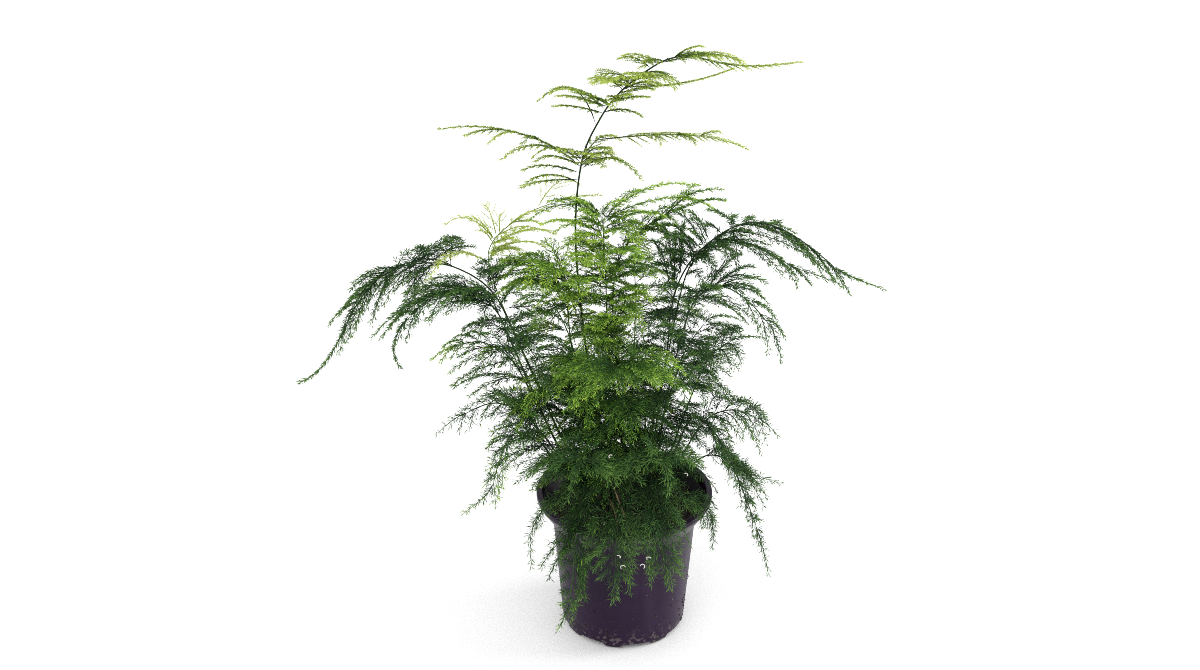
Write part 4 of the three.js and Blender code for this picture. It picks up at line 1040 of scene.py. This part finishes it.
# Needles and twigs by the age and place of a frond, short and close on the upper sprays, long and open on
# the low ones. Tufts stand a "gap" apart, with "count" needles that lean out by "lean" degrees. "flat" is how
# far they stand off the plane of the spray and "tone" how much younger they look. Twigs stand at "twigAngle",
# droop by "sag" and rise or sink by up to "tilt". "roll" turns a spray's plane at random, and "wire" thickens
# spines and twigs.
needleStyles = {
    "shoot": {
        "length": 2.3, "width": 0.4, "lean": 46, "gap": 1.55, "count": 3, "flat": 0.8, "tone": 0.35,
        "twigGap": 5.5, "twigShare": 0.6, "twigAngle": 36, "sag": 0.06, "tilt": 0.15, "roll": 30, "wire": 1.2,
    },
    "fine": {
        "length": 2.0, "width": 0.54, "lean": 42, "gap": 1.25, "count": 3, "flat": 0.6, "tone": 0.1,
        "twigGap": 5, "twigShare": 0.7, "twigAngle": 40, "sag": 0.12, "tilt": 0.05, "roll": 12, "wire": 1.25,
    },
    "close": {
        "length": 3.4, "width": 0.62, "lean": 43, "gap": 1.6, "count": 3, "flat": 0.65, "tone": 0,
        "twigGap": 5.5, "twigShare": 0.7, "twigAngle": 40, "sag": 0.08, "tilt": 0.06, "roll": 12,
    },
    "dense": {
        "length": 4.0, "width": 0.58, "lean": 44, "gap": 1.75, "count": 3, "flat": 0.75, "tone": 0,
        "twigGap": 6, "twigShare": 0.6, "twigAngle": 36, "sag": 0.06, "tilt": 0.08, "roll": 16,
    },
    "open": {
        "length": 5.6, "width": 0.54, "lean": 48, "gap": 2.4, "count": 3, "flat": 0.9, "tone": 0,
        "twigGap": 6.5, "twigShare": 0.5, "twigAngle": 38, "sag": 0.06, "tilt": 0.25, "roll": 60,
    },
}

openFronds = (
    "left_rim", "right_trail", "right_sparse", "right_rim", "front_low_right", "front_low_left",
    "front_trail_left", "front_trail_middle", "front_trail_right", "left_trail", "right_outer", "left_lower",
)


# The needle style of a frond: by its place, and otherwise by its tone
def styleOf(name, tone):
    if name in openFronds:
        return needleStyles["open"]
    if name == "young_shoot":
        return needleStyles["shoot"]
    return needleStyles[{"young": "fine", "middle": "close", "dark": "dense"}[tone]]


# A number from 0 to 1 that looks random but is the same each time: the fraction of
# sin(seed * 12.9898) * 43758.5453
def scatter(seed):
    wave = np.sin(np.asarray(seed, float) * 12.9898) * 43758.5453
    return wave - np.floor(wave)


# A value that varies by half the spread to both sides
def varied(value, spread, seed):
    return value + spread * (scatter(seed) - 0.5)


# The stem's curve: a uniform Catmull-Rom curve through its points, with each end point doubled. "At" is a
# place on the stem: -1 at its root, 0 just over the soil, and then the points of the path from 1.
class Stem:
    def __init__(self, foot, path):
        rooted = [(*foot, soil["top"] - foliage["rootDepth"]), (*foot, soil["top"] + foliage["footHeight"])]
        self.points = np.array([*rooted, *path], float)
        self.last = len(path)

    def point(self, at):
        place = np.clip(np.asarray(at, float) + 1, 0, len(self.points) - 1 - 1e-9)
        k = np.floor(place).astype(int)
        t = (place - k)[..., None]
        a, b, c, d = [self.points[np.clip(k + step, 0, len(self.points) - 1)] for step in (-1, 0, 1, 2)]
        bend = (c - a) * t + (2 * a - 5 * b + 4 * c - d) * t**2 + (3 * b - a - 3 * c + d) * t**3
        return 0.5 * (2 * b + bend)

    def direction(self, at):
        return unit(self.point(at) - self.point(np.asarray(at, float) - 0.02))


# The length of a thread: a little more than the straight way from its base to its tip
def lengthOf(base, tip):
    return np.linalg.norm(tip - base, axis=-1) * foliage["curveStretch"]


# A point of a thread, a quadratic curve from base to tip that is pulled towards middle and droops at its end:
# (1-s)^2 base + 2 s (1-s) middle + s^2 tip - up * tipDroop * length * s^5
def threadPoint(base, middle, tip, s):
    curve = (1 - s) ** 2 * base + 2 * s * (1 - s) * middle + s**2 * tip
    return curve - up * foliage["tipDroop"] * lengthOf(base, tip)[..., None] * s**5


# Many threads as arrays, with the direction across each, the share at which its needles start, the growth of
# its two ends, its own shade and the size of its twigs
class Threads:
    fields = ("base", "middle", "tip", "across", "start", "young", "shade", "twigs")

    def __init__(self, **arrays):
        for field in self.fields:
            setattr(self, field, np.asarray(arrays[field], float))
        self.length = lengthOf(self.base, self.tip)
        self.count = len(self.base)

    @classmethod
    def joined(cls, groups):
        return cls(**{field: np.concatenate([getattr(g, field) for g in groups]) for field in cls.fields})

    def point(self, which, share):
        return threadPoint(self.base[which], self.middle[which], self.tip[which], share[..., None])

    def direction(self, which, share):
        s = share[..., None]
        base, middle, tip = self.base[which], self.middle[which], self.tip[which]
        return unit((1 - s) * (middle - base) + s * (tip - middle))

    def growth(self, which, share):
        return self.young[which, 0] + (self.young[which, 1] - self.young[which, 0]) * share


# For counts such as [2, 3]: the owners [0, 0, 1, 1, 1] and the places [0, 1, 0, 1, 2]
def counted(counts):
    which = np.repeat(np.arange(len(counts)), counts)
    return which, np.arange(len(which)) - np.repeat(np.cumsum(counts) - counts, counts)


# The level direction across each spray, or across the frond's heading where the spray is too steep for one
def acrossOf(base, tip, heading):
    reach = (tip - base) * level
    length = np.linalg.norm(tip - base, axis=-1)
    isLevel = np.linalg.norm(reach, axis=-1) > foliage["steepShare"] * length
    forward = np.where(isLevel[:, None], reach, heading)
    return unit(np.cross(forward, up))


# The sprays of a row as curves, with their places on the stem. Tip: base + (outward - up * droop) * reach.
# Middle: halfway + up * 2 * (arch + droop / 4) * reach.
def rowSpines(frond, row, number, stem, heading):
    fine = np.arange(foliage["finerSprays"] * row["count"])
    share = (fine + 0.5) / len(fine)
    at = row["from"] + (row.get("to", stem.last) - row["from"]) * share
    seed = fine + 7 * frond["foot"][0] + 13 * frond["foot"][1] + 50 * number
    shortening = 0 if "to" in row else foliage["sprayShortening"]
    shortened = row["length"] * (1 - shortening * share)
    reach = (shortened * varied(1, foliage["lengthJitter"], seed))[:, None]
    if "spread" in row:
        angle = np.radians(varied(row["spread"], foliage["angleJitter"], seed))[:, None]
        side = np.where(fine % 2 == 0, 1, -1)[:, None]
        outward = stem.direction(at) * np.cos(angle) + np.cross(heading, up) * side * np.sin(angle)
    else:
        turn = np.radians(foliage["goldenAngle"] * fine)[:, None]
        outward = heading * np.cos(turn) + np.cross(up, heading) * np.sin(turn)
    base = stem.point(at)
    droop = row["droop"] * (varied(1, foliage["droopJitter"], seed + 3)[:, None] if "to" in row else 1)
    tip = base + outward * reach - up * droop * reach
    middle = (base + tip) / 2 + up * 2 * (row.get("arch", foliage["sprayArch"]) + droop / 4) * reach
    return base, middle, tip, at


# A curve with its place on the stem, the size of its twigs and its bare share, as a row of one
def single(base, middle, tip, at, twigs, bare):
    return [np.array([value], float) for value in (base, middle, tip, at, twigs, bare)]


# The last spray, which goes on from the stem's end
def lastSpine(frond, stem):
    base, tip = stem.point(stem.last - foliage["stemEndLap"]), np.array(frond["tip"], float)
    pull = foliage["lastSprayPull"] * np.linalg.norm(tip - base)
    bend = frond.get("bend", base + stem.direction(stem.last) * pull)
    return single(base, bend, tip, stem.last, frond.get("lastTwigs", foliage["lastSprayTwigs"]), 0)


# A listed spray. Middle: base + (1/2 + push) * (tip - base) + up * 2 * lift.
def handSpine(frond, stem, at, tip, lift, *rest):
    usual = (0, frond.get("sprayTwigs", 1), foliage["bareShare"])
    push, twigs, bare = (*rest, *usual[len(rest):])
    base = stem.point(at)
    middle = base + (0.5 + push) * (np.array(tip) - base) + up * 2 * lift
    return single(base, middle, tip, at, twigs, bare)


# A small spray that forks from another one, at a share of the way along it
def branchletSpine(parent, share, tip, lift, stem):
    base = threadPoint(*[part[0] for part in parent[:3]], share)
    return single(base, (base + tip) / 2 + up * 2 * lift, tip, stem.last, foliage["branchletTwigs"], 0)


# All the sprays of a frond as threads: the last one, those listed one by one, their branchlets and the rows
def spinesOf(frond, stem, style):
    heading = unit((np.array(frond["tip"]) - (*frond["foot"], 0)) * level)
    groups = [handSpine(frond, stem, *spray) for spray in frond.get("sprays", [])]
    forks = [(groups[number], *rest) for number, *rest in frond.get("branchlets", [])]
    groups = [lastSpine(frond, stem), *groups, *[branchletSpine(*fork, stem) for fork in forks]]
    for number, row in enumerate(frond.get("rows", [])):
        curves = rowSpines(frond, row, number, stem, heading)
        size = row.get("twigs", 1 if "to" in row else frond.get("twigs", 1))
        same = [np.full(len(curves[0]), value) for value in (size, foliage["bareShare"])]
        groups.append([*curves, *same])
    base, middle, tip, at, twigs, bare = [np.concatenate(parts) for parts in zip(*groups)]
    age = np.clip((at - 1) / (stem.last - 1), 0, 1)
    ends = [low + (high - low) * age for low, high in (foliage["growthAtBase"], foliage["growthAtTip"])]
    young = np.stack(ends, axis=-1) + style["tone"] + frond.get("fresh", 0)
    number = np.arange(len(base))
    shade = scatter(31 * number + frond["foot"][0])
    across = acrossOf(base, tip, heading)
    roll = np.radians(style["roll"]) * (2 * scatter(17 * number + frond["foot"][1]) - 1)[:, None]
    across = across * np.cos(roll) + np.cross(unit(tip - base), across) * np.sin(roll)
    return Threads(
        base=base, middle=middle, tip=tip, across=across, start=bare, young=young, shade=shade, twigs=twigs
    )


# How long twigs are at a share of a spray, against the longest: min(1, 0.35 + 3 share) * (1 - share)^1.2
def fullness(share):
    return np.minimum(1, 0.35 + 3 * share) * (1 - share) ** 1.2


# Twigs to both sides of each thread in turn, a gap apart, at twigAngle * (1.2 - 0.5 share). Each leaves wider
# than that and bends forward. Its tip is base + length * (direction * cos(angle) + out * sin(angle) + tilt)
# - up * sag * length, and its middle is twigMiddle of the length out at the wide angle. Its length is
# shortestTwig + twigShare * twigs * size / (1 + (size / usualSpray)^2) * fullness, give or take, where size
# is the spray's length, so that long sprays have short twigs.
def branchesOn(parents, style, rng):
    room = parents.length * (1 - parents.start) / style["twigGap"]
    counts = np.maximum(2, np.round(room)).astype(int)
    which, place = counted(counts)
    which, place = np.tile(which, 2), np.tile(place, 2)
    side = np.repeat([1.0, -1.0], len(which) // 2)
    start = parents.start[which]
    inTurn = place + 0.55 + foliage["twigStagger"] * side
    inTurn = inTurn + foliage["twigJitter"] * rng.uniform(-1, 1, len(which))
    along = np.clip(start + (1 - start) * inTurn / (counts[which] + 0.3), 0, foliage["twigEnd"])
    base = parents.point(which, along)
    direction = parents.direction(which, along)
    across = parents.across[which]
    above = np.cross(across, direction)
    size = parents.length[which]
    longest = style["twigShare"] * parents.twigs[which] * size / (1 + (size / foliage["usualSpray"]) ** 2)
    full = longest * fullness(along) * (1 + foliage["lengthJitter"] * rng.uniform(-0.5, 0.5, len(which)))
    length = (foliage["shortestTwig"] + full)[:, None]
    astray = foliage["angleJitter"] * rng.uniform(-0.5, 0.5, len(which))
    angle = np.radians(style["twigAngle"] * (1.2 - 0.5 * along) + astray)[:, None]
    wide = angle + foliage["twigWiden"]
    out = across * side[:, None]
    tilt = above * rng.uniform(-style["tilt"], style["tilt"], len(which))[:, None]
    tip = base + length * (direction * np.cos(angle) + out * np.sin(angle) + tilt)
    tip = tip - up * style["sag"] * length
    middle = base + foliage["twigMiddle"] * length * (direction * np.cos(wide) + out * np.sin(wide) + tilt)
    growth = parents.growth(which, along)
    young = np.stack([growth, growth + foliage["twigGrowth"]], axis=-1)
    shade = parents.shade[which]
    shade = shade + foliage["ownShade"] * (rng.uniform(0, 1, len(which)) - shade)
    across, bare = unit(np.cross(unit(tip - base), above)), np.full(len(which), foliage["twigBare"])
    return Threads(
        base=base, middle=middle, tip=tip, across=across, start=bare, young=young, shade=shade,
        twigs=np.ones(len(which)),
    )


# Tubes along threads, from one radius to another. Their bark thins out to a fifth at the tip.
def addThreads(bunch, threads, kind, wire, wood):
    radius, tipRadius = wire * foliage[kind + "Radius"], wire * foliage[kind + "TipRadius"]
    points, sides = foliage[kind + "Points"], foliage[kind + "Sides"]
    share = np.linspace(0, 1, points)
    which = np.arange(threads.count)[:, None]
    centres = threads.point(which, np.broadcast_to(share, (threads.count, points)))
    radii = np.broadcast_to(radius + (tipRadius - radius) * share, (threads.count, points))
    above = np.cross(threads.across, unit(threads.tip - threads.base))
    made, triangles = tubes(centres, radii, sides, above)
    growth = threads.growth(which, share[None])
    shade = np.broadcast_to(threads.shade[:, None], growth.shape)
    bark = np.broadcast_to(wood * (1 - 0.8 * share), growth.shape)
    bunch.add(made, triangles, tubeFacts(np.stack([growth, shade, bark], axis=-1), sides))


# How deep points lie in the plant, which sets the painted shade of its needles: 1 on its axis low down, 0
# past the crown's radius or above its depth
def depth(points):
    aside = np.hypot(points[:, 0], points[:, 1]) / foliage["crownRadius"]
    high = np.clip((points[:, 2] - foliage["crownFoot"]) / foliage["crownDepth"], 0, 1)
    return np.clip(1 - aside, 0, 1) * (1 - high)


# Needles: each is a slim closed spindle of four triangles, widest before its middle, with a shallow fold
# along it. Each is older at its base than at its tip, and darker deep in the plant, which is painted shade.
def addNeedles(bunch, base, direction, side, length, width, growth, shade):
    middle = base + direction * foliage["needleWidest"] * length
    fold = np.cross(direction, side) * foliage["needleFold"] * width
    wide = side * 0.5 * width
    points = np.stack([base, middle + wide + fold, middle - wide + fold, base + direction * length], axis=1)
    faces = np.array([(0, 1, 3), (0, 3, 2), (0, 2, 1), (3, 1, 2)])
    triangles = faces[None] + 4 * np.arange(len(points))[:, None, None]
    # painted shade: needles deep in the plant are given older, darker growth
    growth = (growth - foliage["crownShade"] * depth(base))[:, None] + np.array(foliage["needleGrowth"])
    facts = np.stack([growth, np.broadcast_to(shade[:, None], growth.shape), 0 * growth], axis=-1)
    bunch.add(points, triangles, facts.reshape(-1, 3))


# Tufts of needles along each thread, standing round it and leaning forward. Their length is times
# 1 - 0.35 share^2 along it, and they stand out less above and below the plane of the spray than in it.
def addTufts(bunch, threads, style, rng):
    counts = np.maximum(1, np.round(threads.length * (1 - threads.start) / style["gap"])).astype(int)
    which, place = counted(counts)
    start = threads.start[which]
    share = start + (1 - start) * (place + 0.5 + rng.uniform(-0.2, 0.2, len(which))) / counts[which]
    base = threads.point(which, share)
    along = threads.direction(which, share)
    across = unit(threads.across[which])
    above = unit(np.cross(across, along))
    growth, shade = threads.growth(which, share), threads.shade[which]
    roll = rng.uniform(0, 2 * np.pi, len(which))
    for k in range(style["count"]):
        turn = (roll + 2 * np.pi * k / style["count"] + rng.uniform(-0.4, 0.4, len(which)))[:, None]
        lean = np.radians(style["lean"] + foliage["leanJitter"] * rng.uniform(-1, 1, len(which)))[:, None]
        outward = across * np.cos(turn) + above * style["flat"] * np.sin(turn)
        direction = unit(along * np.cos(lean) + outward * np.sin(lean) - up * foliage["needleSag"])
        side = unit(np.cross(direction, along))
        length = style["length"] * (1 - 0.35 * share**2) * rng.uniform(0.72, 1.15, len(which))
        width = style["width"] * rng.uniform(0.85, 1.1, len(which))
        tone = growth + foliage["needleTone"] * rng.uniform(-1, 1, len(which))
        addNeedles(bunch, base, direction, side, length[:, None], width[:, None], tone, shade)


# The bare wiry stem, a ring at each step of its length, with the small pointed scales that sit at its nodes.
# Its length is measured over 60 short steps from each point of its path to the next.
def addStem(bunch, stem, radius, tipRadius, wood, rng):
    fine = np.linspace(-1, stem.last, 60 * (stem.last + 1))
    walk = np.cumsum(np.linalg.norm(np.diff(stem.point(fine), axis=0), axis=-1))
    walk = np.concatenate([[0], walk])
    at = np.interp(np.linspace(0, walk[-1], round(walk[-1] / foliage["stemStep"])), walk, fine)
    share = np.linspace(0, 1, len(at))
    centres = stem.point(at)[None]
    radii = (radius + (tipRadius - radius) * share)[None]
    points, triangles = tubes(centres, radii, foliage["stemSides"], np.array([[0.1, 1.0, 0.3]]))
    facts = np.stack([0.1 + 0.5 * share, np.full(len(at), 0.5), np.full(len(at), wood)], axis=-1)[None]
    bunch.add(points, triangles, tubeFacts(facts, foliage["stemSides"]), smooth=True)
    places = np.arange(foliage["scaleFrom"], walk[-1] - foliage["scaleTo"], foliage["scaleStep"])
    at = np.interp(places, walk, fine)
    along = stem.direction(at)
    turn = (np.arange(len(at)) * np.radians(foliage["goldenAngle"]))[:, None]
    first = unit(np.cross(along, np.array([0.2, 1, 0.1])))
    outward = first * np.cos(turn) + np.cross(along, first) * np.sin(turn)
    base = stem.point(at) + outward * 0.5 * radius
    direction = unit(along * 0.86 + outward * 0.5)
    size = foliage["scaleLength"] * rng.uniform(0.7, 1.1, len(at))
    width = np.full(len(at), foliage["scaleWidth"])
    side = unit(np.cross(direction, outward))
    growth, shade = np.full(len(at), 0.35), np.full(len(at), 0.3)
    addNeedles(bunch, base, direction, side, size[:, None], width[:, None], growth, shade)


# A frond as one piece: its stem, spines, twigs and needles
def makeFrond(frond, number):
    rng = np.random.default_rng(100 + number)
    stem = Stem(frond["foot"], frond["path"])
    style = styleOf(frond["name"], frond["tone"])
    spines = spinesOf(frond, stem, style)
    twigs = branchesOn(spines, style, rng)
    bunch = Bunch()
    thickness, wood = frond.get("thickness", 1), frond.get("wood", 1)
    addStem(bunch, stem, thickness * foliage["stemRadius"], thickness * foliage["stemTipRadius"], wood, rng)
    wire = style.get("wire", 1)
    addThreads(bunch, spines, "spine", wire, wood)
    addThreads(bunch, twigs, "twig", wire, wood)
    addTufts(bunch, Threads.joined([spines, twigs]), style, rng)
    before = total["triangles"]
    node = "frond_" + frond["name"]
    bunch.piece("foliage_" + frond["name"], leaf[frond["tone"]], "foliage_" + frond["tone"], node)
    print(node, total["triangles"] - before)


# Leafless stalks of old growth: the foot of each and the points it passes. Three dead side shoots stand on
# each, at these places on it and with these lengths.
dryStalks = [
    {"name": "dry_stalk_long", "foot": (3, -38), "path": [(-1, -33, 102), (-9, -27, 122)]},
    {"name": "dry_stalk_short", "foot": (-5, -36), "path": [(-6, -33, 100), (-10, -31, 112)]},
]
dryShoots = {"places": (1.0, 1.45, 1.8), "lengths": (6.0, 4.0, 5.0), "width": 0.7, "tipRadius": 0.45}


def makeStalk(stalk, number):
    rng = np.random.default_rng(700 + number)
    stem = Stem(stalk["foot"], stalk["path"])
    bunch = Bunch()
    addStem(bunch, stem, foliage["stemRadius"], dryShoots["tipRadius"], 1, rng)
    at = np.array(dryShoots["places"])
    along = stem.direction(at)
    outward = unit(np.cross(along, rng.normal(size=(3, 3))))
    direction = unit(along + 0.5 * outward)
    side = unit(np.cross(direction, along))
    length, width = np.array(dryShoots["lengths"])[:, None], np.full((3, 1), dryShoots["width"])
    addNeedles(bunch, stem.point(at), direction, side, length, width, np.full(3, 0.5), np.full(3, 0.6))
    bunch.piece(stalk["name"] + "_fine", dryStem, "dry_stalk", stalk["name"])


# Needle colour runs from old growth by the stem to young tips, and bark colour from old wood to young. Each
# spray has its own shade.
leafColours = {
    "dark": [(0.05, (0.007, 0.023, 0.008)), (0.45, (0.029, 0.082, 0.022)), (0.95, (0.12, 0.24, 0.045))],
    "middle": [
        (0.05, (0.008, 0.03, 0.006)), (0.45, (0.046, 0.13, 0.018)),
        (0.9, (0.26, 0.46, 0.05)), (1.0, (0.42, 0.6, 0.08)),
    ],
    "young": [(0.05, (0.02, 0.06, 0.004)), (0.45, (0.12, 0.22, 0.016)), (0.95, (0.5, 0.61, 0.13))],
}
barkColours = {
    "dark": ((0.012, 0.026, 0.01), (0.03, 0.06, 0.02)),
    "middle": ((0.01, 0.026, 0.01), (0.04, 0.09, 0.02)),
    "young": ((0.005, 0.013, 0.007), (0.018, 0.042, 0.012)),
}


# Needles and bark of one tone. Age: growth + 0.42 (shade - 1/2) + 0.5 (noise - 1/2).
def leafMaterial(tone):
    shader = Shader("needles_" + tone)
    growth, shade, bark = [shader.attribute(name) for name in ("growth", "shade", "bark")]
    patch = shader.noise(28, 2)
    age = growth + (shade - 0.5) * 0.42 + (patch - 0.5) * 0.5
    green = shader.ramp(age, leafColours[tone])
    old, fresh = barkColours[tone]
    wood = shader.mix(shader.rise(growth, 0.1, 0.7), old, fresh)
    colour = shader.mix(bark, green, wood)
    streak = shader.noise(700, 2, (1, 1, 0.2))
    relief = shader.bump(streak, 0.0002, 0.5)
    rough = streak * 0.2 + 0.55
    return shader.surface(Base_Color=colour, Roughness=rough, Normal=relief, Specular_IOR_Level=0.15)


def dryMaterial():
    shader = Shader("dryStalk")
    fibre = shader.noise(500, 3, (1, 1, 0.15))
    colour = shader.ramp(fibre, [(0.3, (0.2, 0.13, 0.06)), (0.65, (0.5, 0.38, 0.2))])
    relief = shader.bump(fibre, 0.0003)
    return shader.surface(Base_Color=colour, Roughness=fibre * 0.2 + 0.6, Normal=relief)


leaf = {tone: leafMaterial(tone) for tone in leafColours}
dryStem = dryMaterial()
for number, frond in enumerate(fronds):
    makeFrond(frond, number)
for number, stalk in enumerate(dryStalks):
    makeStalk(stalk, number)
print("plant:", total["triangles"], "triangles in all")


# The pale floor, the soft light and the camera, in metres and degrees. "Focus" is the focal length as a share
# of the picture's width, and the side light has its place, its size and its power.
studio = {
    "floor": 60.0, "sky": 1.0, "sun": 1.0, "sunSpread": 50, "sunTurn": (34, -14), "aim": (0, 0, 0.2),
    "sideLight": ((1.0, 0.16, 0.35), 0.4, 7.0), "filterWidth": 0.9,
    "camera": (-0.0166, -0.689, 0.508), "pitch": 22.97, "focus": 1157 / 1200, "sensor": 36,
}


def floorMaterial():
    shader = Shader("paleFloor")
    cloud = shader.noise(3, 2)
    colour = shader.ramp(cloud, [(0.3, (0.95, 0.95, 0.95)), (0.7, (0.96, 0.96, 0.96))])
    return shader.surface(Base_Color=colour, Roughness=cloud * 0.1 + 0.6)


def makeFloor():
    half = studio["floor"] / 2
    mesh = bpy.data.meshes.new("floor")
    corners = [(-half, -half, 0), (half, -half, 0), (half, half, 0), (-half, half, 0)]
    mesh.from_pydata(corners, [], [(0, 1, 2, 3)])
    mesh.materials.append(floorMaterial())
    floor = bpy.data.objects.new("floor", mesh)
    bpy.context.scene.collection.objects.link(floor)


# A square soft light that faces the plant: tilted by atan2(level distance, drop) and turned to the aim
def softLight(name, place, size, power):
    light = bpy.data.lights.new(name, "AREA")
    light.size = size
    light.energy = power
    lamp = bpy.data.objects.new(name, light)
    lamp.location = place
    aim = np.array(studio["aim"]) - np.array(place)
    tilt = math.atan2(math.hypot(aim[0], aim[1]), -aim[2])
    lamp.rotation_euler = (tilt, 0, math.atan2(aim[1], aim[0]) - math.pi / 2)
    bpy.context.scene.collection.objects.link(lamp)


def makeStudio():
    scene = bpy.context.scene
    scene.view_settings.view_transform = "Standard"
    scene.cycles.use_denoising = False
    scene.cycles.filter_width = studio["filterWidth"]
    world = bpy.data.worlds.new("studio")
    world.use_nodes = True
    background = world.node_tree.nodes["Background"]
    background.inputs["Color"].default_value = (1, 1, 1, 1)
    background.inputs["Strength"].default_value = studio["sky"]
    scene.world = world
    sun = bpy.data.lights.new("keyLight", "SUN")
    sun.energy = studio["sun"]
    sun.angle = math.radians(studio["sunSpread"])
    lamp = bpy.data.objects.new("keyLight", sun)
    lamp.rotation_euler = (*np.radians(studio["sunTurn"]), 0)
    scene.collection.objects.link(lamp)
    softLight("sideLight", *studio["sideLight"])
    lens = bpy.data.cameras.new("camera")
    lens.sensor_width = studio["sensor"]
    lens.lens = studio["focus"] * studio["sensor"]
    lens.clip_start, lens.clip_end = 0.01, 50
    camera = bpy.data.objects.new("camera", lens)
    camera.location = studio["camera"]
    camera.rotation_euler = (math.radians(90 - studio["pitch"]), 0, 0)
    scene.collection.objects.link(camera)
    scene.camera = camera


makeFloor()
makeStudio()
